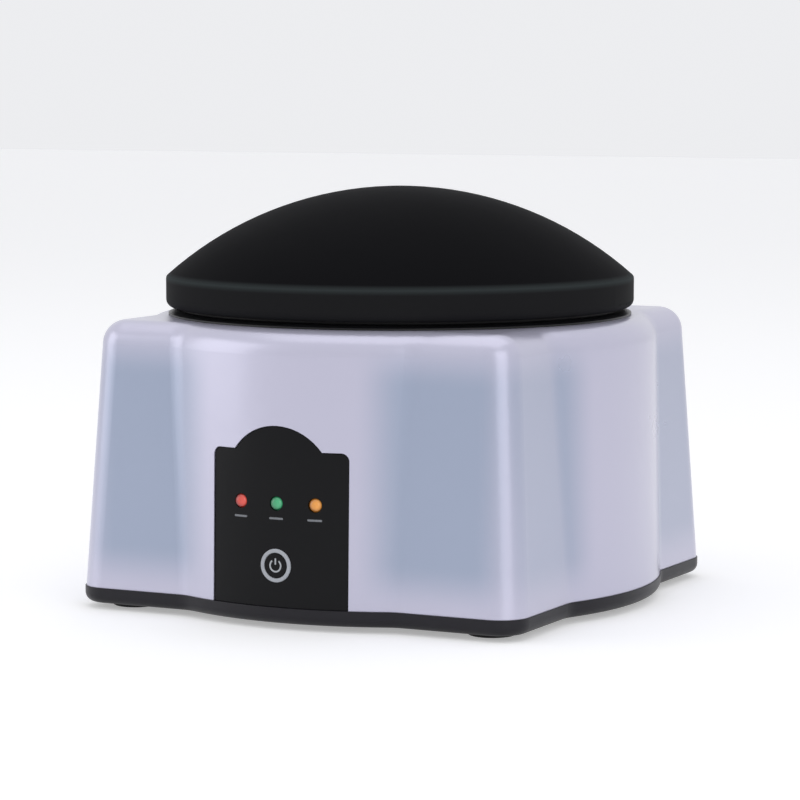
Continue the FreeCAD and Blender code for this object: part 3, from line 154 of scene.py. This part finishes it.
softbox("left_softbox", LEFT_BOX_PLACE, SIDE_BOX_AIM, SIDE_BOX_WIDTH, SIDE_BOX_HEIGHT, LEFT_BOX_WATTS)
softbox("right_softbox", RIGHT_BOX_PLACE, SIDE_BOX_AIM, SIDE_BOX_WIDTH, SIDE_BOX_HEIGHT, RIGHT_BOX_WATTS)
softbox("top_softbox", TOP_BOX_PLACE, TOP_BOX_AIM, TOP_BOX_WIDTH, TOP_BOX_DEPTH, TOP_BOX_WATTS)

world = bpy.data.worlds.new("studio_fill")
world.use_nodes = True
scene.world = world
nodes, links = world.node_tree.nodes, world.node_tree.links
fill = nodes["Background"]
fill.inputs["Color"].default_value = WORLD_COLOUR
fill.inputs["Strength"].default_value = WORLD_FILL
backdrop = nodes.new("ShaderNodeBackground")
backdrop.inputs["Color"].default_value = BACKDROP_COLOUR
backdrop.inputs["Strength"].default_value = 1.0
choose = nodes.new("ShaderNodeMixShader")
links.new(seen_directly(nodes, links), choose.inputs[0])
links.new(fill.outputs[0], choose.inputs[1])
links.new(backdrop.outputs[0], choose.inputs[2])
links.new(choose.outputs[0], nodes["World Output"].inputs["Surface"])


# ---- housing shell ------------------------------------------------------------------------
# The one-piece casing of the machine, injection moulded in ABS with a satin pearl lacquer over
# it. A bluer, darker painted shade lies on the flats between the bulges and the corners, weaker
# where they are seen edge on. It stands on the base tray and is held by four long screws from below.

PEARL_COLOUR = (0.60, 0.588, 0.725, 1.0)
FLAT_PAINTED_SHADE = (0.38, 0.435, 0.57, 1.0)
FLAT_START, FLAT_END = 37 * MM, 82 * MM
FLAT_LOW, FLAT_HIGH = 17 * MM, 96 * MM
FLAT_BLUR = 9 * MM
EDGE_SOFTNESS = 0.4 * MM


def surface_grain_group():
    """Fine moulded texture over edges that are a little soft, as a normal."""
    group = bpy.data.node_groups.new("surface_grain", "ShaderNodeTree")
    group.interface.new_socket("Scale", in_out="INPUT", socket_type="NodeSocketFloat")
    group.interface.new_socket("Depth", in_out="INPUT", socket_type="NodeSocketFloat")
    group.interface.new_socket("Normal", in_out="OUTPUT", socket_type="NodeSocketVector")
    nodes, links = group.nodes, group.links
    given = nodes.new("NodeGroupInput")
    result = nodes.new("NodeGroupOutput")
    place = nodes.new("ShaderNodeTexCoord")
    fine = nodes.new("ShaderNodeTexNoise")
    fine.inputs["Detail"].default_value = 3.0
    links.new(place.outputs["Object"], fine.inputs["Vector"])
    links.new(given.outputs["Scale"], fine.inputs["Scale"])
    softened = nodes.new("ShaderNodeBevel")
    softened.samples = 6
    softened.inputs["Radius"].default_value = EDGE_SOFTNESS
    bump = nodes.new("ShaderNodeBump")
    bump.inputs["Strength"].default_value = 1.0
    links.new(softened.outputs["Normal"], bump.inputs["Normal"])
    links.new(fine.outputs["Fac"], bump.inputs["Height"])
    links.new(given.outputs["Depth"], bump.inputs["Distance"])
    links.new(bump.outputs["Normal"], result.inputs["Normal"])
    return group


def handled_group():
    """Where hands and cloths have been: a roughness that drifts between two values."""
    group = bpy.data.node_groups.new("handled_surface", "ShaderNodeTree")
    group.interface.new_socket("Scale", in_out="INPUT", socket_type="NodeSocketFloat")
    group.interface.new_socket("Smoothest", in_out="INPUT", socket_type="NodeSocketFloat")
    group.interface.new_socket("Roughest", in_out="INPUT", socket_type="NodeSocketFloat")
    group.interface.new_socket("Roughness", in_out="OUTPUT", socket_type="NodeSocketFloat")
    group.interface.new_socket("Cloud", in_out="OUTPUT", socket_type="NodeSocketFloat")
    nodes, links = group.nodes, group.links
    given = nodes.new("NodeGroupInput")
    result = nodes.new("NodeGroupOutput")
    place = nodes.new("ShaderNodeTexCoord")
    cloud = nodes.new("ShaderNodeTexNoise")
    cloud.inputs["Detail"].default_value = 5.0
    cloud.inputs["Roughness"].default_value = 0.62
    links.new(place.outputs["Object"], cloud.inputs["Vector"])
    links.new(given.outputs["Scale"], cloud.inputs["Scale"])
    spread = nodes.new("ShaderNodeMapRange")
    spread.inputs["From Min"].default_value = 0.3
    spread.inputs["From Max"].default_value = 0.7
    links.new(cloud.outputs["Fac"], spread.inputs["Value"])
    links.new(given.outputs["Smoothest"], spread.inputs["To Min"])
    links.new(given.outputs["Roughest"], spread.inputs["To Max"])
    links.new(spread.outputs["Result"], result.inputs["Roughness"])
    links.new(cloud.outputs["Fac"], result.inputs["Cloud"])
    return group


surface_grain = surface_grain_group()
handled_surface = handled_group()


def finish_surface(nodes, links, shader, smoothest, roughest, grain_scale, grain_depth_mm, cloud_scale=14.0):
    """Gives a shader the handled roughness and the fine grain, and returns the handled node."""
    handled = nodes.new("ShaderNodeGroup")
    handled.node_tree = handled_surface
    handled.inputs["Scale"].default_value = cloud_scale
    handled.inputs["Smoothest"].default_value = smoothest
    handled.inputs["Roughest"].default_value = roughest
    links.new(handled.outputs["Roughness"], shader.inputs["Roughness"])
    grain = nodes.new("ShaderNodeGroup")
    grain.node_tree = surface_grain
    grain.inputs["Scale"].default_value = grain_scale
    grain.inputs["Depth"].default_value = grain_depth_mm * MM
    links.new(grain.outputs["Normal"], shader.inputs["Normal"])
    return handled


def tinted(nodes, links, shader, mask, first, last, start=0.32, end=0.68):
    """Drives the base colour from the first to the last shade as a mask goes from start to end."""
    ramp = nodes.new("ShaderNodeValToRGB")
    ramp.color_ramp.elements[0].position = start
    ramp.color_ramp.elements[0].color = first
    ramp.color_ramp.elements[1].position = end
    ramp.color_ramp.elements[1].color = last
    links.new(mask, ramp.inputs["Fac"])
    links.new(ramp.outputs["Color"], shader.inputs["Base Color"])
    return ramp.color_ramp


def shade(colour, share):
    """A colour made lighter or darker by a share."""
    return tuple(min(1.0, channel * share) for channel in colour[:3]) + (1.0,)


def dress(node, material):
    """Puts a material on a carried-over part."""
    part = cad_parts[node]
    part.data.materials.clear()
    part.data.materials.append(material)


def soft_step(nodes, links, value, low, high):
    """0 below low, 1 above high, with a smooth change between; low may be the larger one."""
    step = nodes.new("ShaderNodeMapRange")
    step.interpolation_type = "SMOOTHSTEP"
    step.inputs["From Min"].default_value = low
    step.inputs["From Max"].default_value = high
    links.new(value, step.inputs["Value"])
    return step.outputs["Result"]


def painted_shade_mask_group():
    """Where the painted shade goes: 1 in the middle of the casing's eight narrow flats, and 0 on the bulges
    and the corners.
    """
    group = bpy.data.node_groups.new("casing_flats_painted_shade", "ShaderNodeTree")
    group.interface.new_socket("Mask", in_out="OUTPUT", socket_type="NodeSocketFloat")
    nodes, links = group.nodes, group.links
    result = nodes.new("NodeGroupOutput")
    place = nodes.new("ShaderNodeTexCoord")
    positive = nodes.new("ShaderNodeVectorMath")
    positive.operation = "ABSOLUTE"
    split = nodes.new("ShaderNodeSeparateXYZ")
    along = nodes.new("ShaderNodeMath")
    along.operation = "MINIMUM"
    links.new(place.outputs["Object"], positive.inputs[0])
    links.new(positive.outputs["Vector"], split.inputs[0])
    links.new(split.outputs["X"], along.inputs[0])
    links.new(split.outputs["Y"], along.inputs[1])
    height = split.outputs["Z"]
    mask = soft_step(nodes, links, along.outputs[0], FLAT_START - FLAT_BLUR, FLAT_START + FLAT_BLUR)
    for value, low, high in ((along.outputs[0], FLAT_END + FLAT_BLUR, FLAT_END - FLAT_BLUR),
                             (height, FLAT_LOW - FLAT_BLUR, FLAT_LOW + FLAT_BLUR),
                             (height, FLAT_HIGH + FLAT_BLUR, FLAT_HIGH - FLAT_BLUR)):
        both = nodes.new("ShaderNodeMath")
        both.operation = "MULTIPLY"
        links.new(mask, both.inputs[0])
        links.new(soft_step(nodes, links, value, low, high), both.inputs[1])
        mask = both.outputs[0]
    links.new(mask, result.inputs["Mask"])
    return group


pearl, nodes, links, shader = new_material("pearl_lacquer")
shader.inputs["Metallic"].default_value = 0.4
shader.inputs["Coat Weight"].default_value = 0.3
shader.inputs["Coat Roughness"].default_value = 0.12
finish_surface(nodes, links, shader, 0.27, 0.34, 320.0, 0.006)
# Painted shade: the flats are tinted bluer and darker, and less so where they are seen edge on.
painted_flats = nodes.new("ShaderNodeGroup")
painted_flats.node_tree = painted_shade_mask_group()
edge_on = nodes.new("ShaderNodeLayerWeight")
painted_shade_grazing_fade = nodes.new("ShaderNodeMapRange")
painted_shade_grazing_fade.inputs["From Min"].default_value = 0.15
painted_shade_grazing_fade.inputs["From Max"].default_value = 0.55
painted_shade_grazing_fade.inputs["To Min"].default_value = 1.0
painted_shade_grazing_fade.inputs["To Max"].default_value = 0.62
links.new(edge_on.outputs["Facing"], painted_shade_grazing_fade.inputs["Value"])
painted_shade_mask = nodes.new("ShaderNodeMath")
painted_shade_mask.operation = "MULTIPLY"
links.new(painted_flats.outputs["Mask"], painted_shade_mask.inputs[0])
links.new(painted_shade_grazing_fade.outputs["Result"], painted_shade_mask.inputs[1])
tinted(nodes, links, shader, painted_shade_mask.outputs[0], PEARL_COLOUR, FLAT_PAINTED_SHADE, 0.0, 1.0)
dress("housing_shell", pearl)


# ---- base tray ----------------------------------------------------------------------------
# The black band under the casing, moulded in ABS with a fine spark-eroded grain. It carries the
# feet, the vents and the power board.

def moulded(name, colour, smoothest, roughest, grain_scale=900.0, grain_depth_mm=0.02, shine=0.3):
    """A moulded plastic: near-even colour, handled roughness and fine grain."""
    material, nodes, links, shader = new_material(name)
    shader.inputs["Specular IOR Level"].default_value = shine
    handled = finish_surface(nodes, links, shader, smoothest, roughest, grain_scale, grain_depth_mm)
    tinted(nodes, links, shader, handled.outputs["Cloud"], shade(colour, 0.94), shade(colour, 1.04))
    return material


dress("base_tray", moulded("base_black", (0.010, 0.009, 0.013, 1.0), 0.34, 0.46))


# ---- rubber feet --------------------------------------------------------------------------
# Four round feet of black rubber, pushed into cups in the base. Each has a well in the middle
# for the screw that holds it and the casing.

dress("rubber_feet", moulded("foot_rubber", (0.020, 0.020, 0.020, 1.0), 0.62, 0.8, 500.0, 0.05))


# ---- base screws --------------------------------------------------------------------------
# Long zinc-plated pan-head screws, cold headed with a cross recess. They go up through the feet
# and the base into the casing's corner posts.

HEAD_R, HEAD_RISE, HEAD_ROUND = 2.8 * MM, 1.8 * MM, 0.8 * MM
SHANK_R, TIP_R, TIP_LENGTH = 1.5 * MM, 0.9 * MM, 1.24 * MM
CROSS_SLOT, CROSS_REACH, CROSS_DEPTH = 0.7 * MM, 3.6 * MM, 0.9 * MM
ROUND_STEPS, RIM_STEPS = 32, 4

screws_low, screws_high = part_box("base_screws")
screw_at = screws_high.x - HEAD_R
head_seat_z = screws_low.z + HEAD_RISE
shank_length = screws_high.z - head_seat_z


def metal(name, colour, smoothest, roughest, line_scale=0.0, line_depth_mm=0.0):
    """A bare metal: handled roughness, and turning or drawing lines round the upright axis."""
    material, nodes, links, shader = new_material(name)
    shader.inputs["Metallic"].default_value = 1.0
    handled = finish_surface(nodes, links, shader, smoothest, roughest, 1400.0, 0.004, 60.0)
    tinted(nodes, links, shader, handled.outputs["Cloud"], shade(colour, 0.88), shade(colour, 1.06))
    if line_scale:
        place = nodes.new("ShaderNodeTexCoord")
        split = nodes.new("ShaderNodeSeparateXYZ")
        flat = nodes.new("ShaderNodeVectorMath")
        flat.operation = "MULTIPLY"
        flat.inputs[1].default_value = (1.0, 1.0, 0.0)
        radius = nodes.new("ShaderNodeVectorMath")
        radius.operation = "LENGTH"
        rings = nodes.new("ShaderNodeCombineXYZ")
        lines = nodes.new("ShaderNodeTexNoise")
        lines.inputs["Scale"].default_value = line_scale
        lines.inputs["Detail"].default_value = 2.0
        bump = nodes.new("ShaderNodeBump")
        bump.inputs["Distance"].default_value = line_depth_mm * MM
        links.new(place.outputs["Object"], split.inputs[0])
        links.new(place.outputs["Object"], flat.inputs[0])
        links.new(flat.outputs["Vector"], radius.inputs[0])
        links.new(radius.outputs["Value"], rings.inputs["X"])
        links.new(split.outputs["Z"], rings.inputs["Z"])
        links.new(rings.outputs["Vector"], lines.inputs["Vector"])
        links.new(lines.outputs["Fac"], bump.inputs["Height"])
        links.new(bump.outputs["Normal"], shader.inputs["Normal"])
    return material


def spun_profile(points, steps):
    """A bmesh of a profile of (radius, height) points, spun all the way round the upright axis."""
    shape = bmesh.new()
    corners = [shape.verts.new((r, 0, z)) for r, z in points]
    edges = [shape.edges.new(pair) for pair in zip(corners, corners[1:])]
    bmesh.ops.spin(shape, geom=corners + edges, cent=(0, 0, 0), axis=(0, 0, 1), dvec=(0, 0, 0),
                   angle=2 * math.pi, steps=steps, use_merge=True, use_duplicate=False)
    bmesh.ops.remove_doubles(shape, verts=shape.verts, dist=1e-7)
    return shape


def quarter_round(r, top, round_r):
    """Profile points of a rounded upper rim, from the side of radius r to the flat at the top."""
    turns = (n * math.pi / 2 / RIM_STEPS for n in range(RIM_STEPS + 1))
    return [(r - round_r * (1 - math.cos(t)), top - round_r * (1 - math.sin(t))) for t in turns]


def cut_away(piece, cutter):
    """Takes the cutter's shape out of a piece, for good."""
    tool = piece.modifiers.new("cut", "BOOLEAN")
    tool.operation = "DIFFERENCE"
    tool.solver = "EXACT"
    tool.object = cutter
    done = bpy.data.meshes.new_from_object(piece.evaluated_get(bpy.context.evaluated_depsgraph_get()))
    piece.modifiers.clear()
    piece.data = done
    bpy.data.objects.remove(cutter)


def screw_mesh(x, y):
    """One cross-recess screw at (x, y), made with its head on top and then turned tip up."""
    rim = quarter_round(HEAD_R, HEAD_RISE, HEAD_ROUND)
    shape = spun_profile([(0, -shank_length), (TIP_R, -shank_length), (SHANK_R, TIP_LENGTH - shank_length),
                          (SHANK_R, 0), (HEAD_R, 0), *rim, (0, HEAD_RISE)], ROUND_STEPS)
    screw = link_piece("screw_blank", mesh_from(shape, "screw_blank"))
    for reach_x, reach_y in ((CROSS_REACH, CROSS_SLOT), (CROSS_SLOT, CROSS_REACH)):
        arm = bmesh.new()
        bmesh.ops.create_cube(arm, size=1.0)
        bmesh.ops.scale(arm, vec=(reach_x, reach_y, 2 * CROSS_DEPTH), verts=arm.verts)
        bmesh.ops.translate(arm, vec=(0, 0, HEAD_RISE), verts=arm.verts)
        cut_away(screw, link_piece("cross_cutter", mesh_from(arm, "cross_cutter")))
    mesh = screw.data
    mesh.transform(Matrix.Translation((x, y, head_seat_z)) @ Matrix.Rotation(math.pi, 4, "Y"))
    bpy.data.objects.remove(screw)
    return mesh


def joined(name, meshes):
    """One piece made of several meshes."""
    shape = bmesh.new()
    for mesh in meshes:
        shape.from_mesh(mesh)
    return link_piece(name, mesh_from(shape, name))


def put_on(piece, material, body):
    """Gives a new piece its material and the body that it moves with."""
    piece.data.materials.clear()
    piece.data.materials.append(material)
    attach(piece, body)


screw_zinc = metal("screw_zinc", (0.60, 0.61, 0.63, 1.0), 0.24, 0.38)
base_screws = joined("base_screws_headed",
                     [screw_mesh(x, y) for x in (screw_at, -screw_at) for y in (screw_at, -screw_at)])
put_on(base_screws, screw_zinc, "casing")
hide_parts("base_screws")
for node in ("tank_screws", "control_board_screws", "power_board_screws", "tank_studs", "clamp_nuts"):
    dress(node, screw_zinc)


# ---- control panel ------------------------------------------------------------------------
# A black gloss ABS panel with an arched top, moulded to the curve of the casing's front. It is
# put into the doorway from behind, and three short bars are printed on it, under the lamps.

BULGE_R_AT_BASE, BULGE_R_AT_DECK = 99.5 * MM, 97.5 * MM
SHELL_FOOT_Z, SHELL_RISE = 8.0 * MM, 99.0 * MM
PANEL_RECESS = 0.5 * MM
MARK_DROP, MARK_WIDTH, MARK_HEIGHT, MARK_PRINT = 5.4 * MM, 5.6 * MM, 0.8 * MM, 0.03 * MM
MARK_END_ROUND = 0.36 * MM


def panel_r(z):
    """Radius of the panel's face at a height."""
    share = (z - SHELL_FOOT_Z) / SHELL_RISE
    return BULGE_R_AT_BASE + share * (BULGE_R_AT_DECK - BULGE_R_AT_BASE) - PANEL_RECESS


def on_panel(x, z):
    """The matrix that lays a flat mark, drawn in X and Z, on the curved panel."""
    turn = math.asin(x / panel_r(z))
    return Matrix.Rotation(turn, 4, "Z") @ Matrix.Translation((0, -panel_r(z), z))


def middle_of(node):
    """The middle of a carried-over part's box."""
    low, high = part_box(node)
    return (low + high) / 2


panel_black = moulded("panel_black", (0.006, 0.006, 0.007, 1.0), 0.12, 0.2, 320.0, 0.004, shine=0.14)
dress("control_panel", panel_black)


def printed_ink(name, colour):
    """A thin matt print with a slightly uneven tone."""
    return moulded(name, colour, 0.45, 0.6, 2500.0, 0.004)


pale_ink = printed_ink("pale_ink", (0.24, 0.25, 0.27, 1.0))
for lamp in ("red_lamp", "green_lamp", "amber_lamp"):
    bar = bmesh.new()
    bmesh.ops.create_cube(bar, size=1.0)
    bmesh.ops.scale(bar, vec=(MARK_WIDTH, 2 * MARK_PRINT, MARK_HEIGHT), verts=bar.verts)
    ends = [e for e in bar.edges if abs(e.verts[0].co.y - e.verts[1].co.y) > MARK_PRINT]
    bmesh.ops.bevel(bar, geom=ends, offset=MARK_END_ROUND, affect="EDGES", segments=4, profile=0.5,
                    material=-1)
    place = middle_of(lamp)
    bmesh.ops.transform(bar, matrix=on_panel(place.x, place.z - MARK_DROP), verts=bar.verts)
    mark = link_piece(lamp + "_mark", mesh_from(bar, lamp + "_mark"))
    put_on(mark, pale_ink, "casing")


# ---- lamps --------------------------------------------------------------------------------
# Three round 5 mm lamps cast in tinted clear resin, red, green and amber from left to right.
# Their leads are soldered to the upright board, which holds their noses in the panel's holes.

def lamp_lens(name, colour, glow):
    """Tinted resin that glows most where it is seen face on, over the lamp's die."""
    material, nodes, links, shader = new_material(name)
    shader.inputs["Coat Weight"].default_value = 0.35
    shader.inputs["Coat Roughness"].default_value = 0.05
    shader.inputs["Emission Strength"].default_value = 1.0
    handled = finish_surface(nodes, links, shader, 0.08, 0.16, 900.0, 0.002, 200.0)
    tinted(nodes, links, shader, handled.outputs["Cloud"], shade(colour, 0.8), colour)
    facing = nodes.new("ShaderNodeLayerWeight")
    facing.inputs["Blend"].default_value = 0.5
    tint = nodes.new("ShaderNodeValToRGB")
    tint.color_ramp.elements[0].position = 0.04
    tint.color_ramp.elements[0].color = glow
    tint.color_ramp.elements[1].position = 0.45
    tint.color_ramp.elements[1].color = shade(glow, 0.12)
    links.new(facing.outputs["Facing"], tint.inputs["Fac"])
    links.new(tint.outputs["Color"], shader.inputs["Emission Color"])
    return material


dress("red_lamp", lamp_lens("red_lens", (0.34, 0.015, 0.012, 1.0), (0.50, 0.075, 0.055, 1.0)))
dress("green_lamp", lamp_lens("green_lens", (0.006, 0.14, 0.055, 1.0), (0.05, 0.30, 0.14, 1.0)))
dress("amber_lamp", lamp_lens("amber_lens", (0.36, 0.11, 0.010, 1.0), (0.55, 0.25, 0.05, 1.0)))


# ---- power button -------------------------------------------------------------------------
# A gloss black key that slides in a satin grey ring let into the panel. Its face carries the
# usual power symbol, printed in pale grey: an open ring with a bar in the gap.

SYMBOL_R, SYMBOL_STROKE, SYMBOL_PRINT = 2.15 * MM, 0.62 * MM, 0.04 * MM
SYMBOL_GAP, SYMBOL_STEPS = math.radians(74), 40
SYMBOL_BAR, SYMBOL_BAR_DROP = 2.3 * MM, 0.644 * MM

ring_grey = moulded("ring_grey", (0.48, 0.50, 0.54, 1.0), 0.22, 0.32, 1800.0, 0.003)
dress("trim_ring", ring_grey)
dress("power_button", panel_black)

symbol = bmesh.new()
profile = [symbol.verts.new((r, y, 0)) for r, y in (
    (SYMBOL_R - SYMBOL_STROKE / 2, -SYMBOL_PRINT), (SYMBOL_R + SYMBOL_STROKE / 2, -SYMBOL_PRINT),
    (SYMBOL_R + SYMBOL_STROKE / 2, SYMBOL_PRINT), (SYMBOL_R - SYMBOL_STROKE / 2, SYMBOL_PRINT))]
section = symbol.faces.new(profile)
bmesh.ops.rotate(symbol, cent=(0, 0, 0), matrix=Matrix.Rotation(SYMBOL_GAP / 2 - math.pi / 2, 3, "Y"),
                 verts=profile)
bmesh.ops.spin(symbol, geom=[section], cent=(0, 0, 0), axis=(0, 1, 0), dvec=(0, 0, 0),
               angle=2 * math.pi - SYMBOL_GAP, steps=SYMBOL_STEPS, use_merge=False, use_duplicate=False)
bar = bmesh.ops.create_cube(symbol, size=1.0)["verts"]
bmesh.ops.scale(symbol, vec=(SYMBOL_STROKE, 2 * SYMBOL_PRINT, SYMBOL_BAR), verts=bar)
bmesh.ops.translate(symbol, vec=(0, 0, SYMBOL_R - SYMBOL_BAR_DROP), verts=bar)
button_face_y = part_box("power_button")[0].y
bmesh.ops.translate(symbol, vec=(0, button_face_y, middle_of("trim_ring").z), verts=symbol.verts)
power_symbol = link_piece("power_symbol", mesh_from(symbol, "power_symbol"))
put_on(power_symbol, printed_ink("symbol_ink", (0.55, 0.57, 0.60, 1.0)), "button")


# ---- collar and lid -----------------------------------------------------------------------
# The collar is a flat black ring pushed into the deck. The lid over it is one deep moulding in
# satin black ABS, with a ring pressed into its rim and a soft seal under the ring. A painted
# highlight runs along its crease, and its rim is painted a little paler than the dome as painted light.

dress("seat_collar", moulded("collar_black", (0.006, 0.006, 0.007, 1.0), 0.34, 0.44))
LID_CREASE_Z, CREASE_HALF = 121.2 * MM, 1.8 * MM
DOME_BLACK, CREASE_PAINTED_HIGHLIGHT, RIM_PAINTED_LIGHT = (
    (0.006, 0.006, 0.007, 1.0), (0.036, 0.043, 0.044, 1.0), (0.016, 0.016, 0.017, 1.0))

lid_black = moulded("lid_black", DOME_BLACK, 0.56, 0.64, 320.0, 0.008, shine=0.015)
nodes, links = lid_black.node_tree.nodes, lid_black.node_tree.links
place = nodes.new("ShaderNodeTexCoord")
height = nodes.new("ShaderNodeSeparateXYZ")
links.new(place.outputs["Object"], height.inputs[0])
# Painted highlight along the crease and painted light on the rim, both in the lid's base colour.
crease_highlight_band = nodes.new("ShaderNodeMapRange")
crease_highlight_band.inputs["From Min"].default_value = LID_CREASE_Z - CREASE_HALF
crease_highlight_band.inputs["From Max"].default_value = LID_CREASE_Z + CREASE_HALF
links.new(height.outputs["Z"], crease_highlight_band.inputs["Value"])
ramp = tinted(nodes, links, nodes["Principled BSDF"], crease_highlight_band.outputs["Result"], RIM_PAINTED_LIGHT, DOME_BLACK,
              0.0, 1.0)
ramp.elements.new(0.5).color = CREASE_PAINTED_HIGHLIGHT
dress("lid_dome", lid_black)
dress("lid_gasket", moulded("seal_black", (0.008, 0.008, 0.009, 1.0), 0.5, 0.62, 500.0, 0.01, shine=0.2))
dress("lid_ring", moulded("lid_ring_black", (0.006, 0.006, 0.007, 1.0), 0.36, 0.46))


# ---- finger tray and seals ----------------------------------------------------------------
# The white lift-out tray, moulded in polypropylene, has a domed rest for the palm and five openings
# for the fingers. A grey silicone grommet is pulled into each opening, and the same silicone
# seals the tank.

dress("finger_tray", moulded("tray_white", (0.78, 0.79, 0.81, 1.0), 0.30, 0.40, 500.0, 0.01))
silicone = moulded("grey_silicone", (0.20, 0.21, 0.23, 1.0), 0.5, 0.64, 700.0, 0.02)
for node in ("finger_seals", "tank_gasket"):
    dress(node, silicone)


# ---- steam tank and heater ----------------------------------------------------------------
# The deep-drawn stainless tank hangs under the deck. A cast aluminium ring heater is pressed to
# its floor by a plated cross, with a thermostat in the middle and a cut-out beside it.

dress("steam_tank", metal("tank_steel", (0.58, 0.58, 0.60, 1.0), 0.2, 0.34, 900.0, 0.03))
dress("heater", metal("heater_cast", (0.56, 0.56, 0.57, 1.0), 0.42, 0.56))
dress("heater_clamp", metal("clamp_zinc", (0.60, 0.62, 0.64, 1.0), 0.26, 0.4, 500.0, 0.02))
dress("thermostat", moulded("thermostat_brown", (0.05, 0.022, 0.012, 1.0), 0.4, 0.55))
tinned = metal("tinned_copper", (0.68, 0.68, 0.69, 1.0), 0.2, 0.34)
for node in ("thermal_cutout", "lamp_leads", "inlet_pins", "earth_tag", "fuse_clips"):
    dress(node, tinned)


# ---- boards and what they carry -----------------------------------------------------------
# Two green fibreglass boards: the upright one behind the panel holds the lamps and the switch,
# and the one on the base holds the transformer, relay, capacitor, fuse and terminals.

TRACK_PITCH, TURN_PITCH, SHEET_PITCH = 2.6 * MM, 0.5 * MM, 0.5 * MM
BANDS_PER_SCALE = 20 / (2 * math.pi)


def striped(name, colour, line_colour, pitch, axis, smoothest, roughest, metallic=0.0):
    """A surface of fine parallel lines, such as wire turns, laminations or tracks."""
    material, nodes, links, shader = new_material(name)
    shader.inputs["Metallic"].default_value = metallic
    finish_surface(nodes, links, shader, smoothest, roughest, 1200.0, 0.006, 80.0)
    place = nodes.new("ShaderNodeTexCoord")
    lines = nodes.new("ShaderNodeTexWave")
    lines.wave_type = "BANDS"
    lines.bands_direction = axis
    lines.inputs["Scale"].default_value = 1 / (BANDS_PER_SCALE * pitch)
    lines.inputs["Distortion"].default_value = 0.6
    links.new(place.outputs["Object"], lines.inputs["Vector"])
    tinted(nodes, links, shader, lines.outputs["Fac"], line_colour, colour)
    return material


board_green = striped("board_green", (0.012, 0.11, 0.045, 1.0), (0.025, 0.17, 0.07, 1.0), TRACK_PITCH, "X",
                      0.25, 0.4)
dress("control_board", board_green)
dress("power_board", board_green)
dress("transformer_winding", striped("copper_turns", (0.55, 0.22, 0.08, 1.0), (0.22, 0.08, 0.03, 1.0),
                                     TURN_PITCH, "Z", 0.3, 0.42, metallic=0.6))
dress("transformer_core", striped("core_laminations", (0.16, 0.16, 0.17, 1.0), (0.06, 0.06, 0.07, 1.0),
                                  SHEET_PITCH, "Y", 0.4, 0.55, metallic=0.8))
black_part = moulded("board_part_black", (0.018, 0.018, 0.022, 1.0), 0.3, 0.42)
for node in ("tact_switch", "switch_plunger", "capacitor"):
    dress(node, black_part)
dress("relay", moulded("relay_blue", (0.02, 0.06, 0.32, 1.0), 0.25, 0.36))
dress("terminal_block", moulded("terminal_green", (0.02, 0.16, 0.05, 1.0), 0.34, 0.46))
dress("board_plugs", moulded("plug_white", (0.72, 0.70, 0.64, 1.0), 0.36, 0.48))
fuse_glass, nodes, links, shader = new_material("fuse_glass")
shader.inputs["Transmission Weight"].default_value = 0.9
finish_surface(nodes, links, shader, 0.02, 0.08, 900.0, 0.002)
dress("fuse", fuse_glass)


# ---- leads --------------------------------------------------------------------------------
# Stranded leads in extruded sleeves, cut to length and pushed into their terminals: cream
# silicone near the heater, brown from the inlet, green to earth and grey between the boards.

SLEEVE_CREAM = (0.70, 0.68, 0.62, 1.0)

for node, colour in (("control_lead", (0.16, 0.16, 0.17, 1.0)), ("inlet_leads", (0.09, 0.035, 0.015, 1.0)),
                     ("earth_lead", (0.08, 0.30, 0.03, 1.0)), ("heater_leads", SLEEVE_CREAM),
                     ("thermostat_leads", SLEEVE_CREAM), ("cutout_leads", SLEEVE_CREAM)):
    dress(node, moulded(node + "_sleeve", colour, 0.42, 0.56, grain_depth_mm=0.01))


# ---- mains inlet --------------------------------------------------------------------------
# The socket for a mains lead at the back, moulded in black plastic. It is pushed into its pocket
# in the casing, and three tinned pins stand inside it.

dress("mains_inlet", moulded("inlet_black", (0.018, 0.018, 0.020, 1.0), 0.3, 0.42))
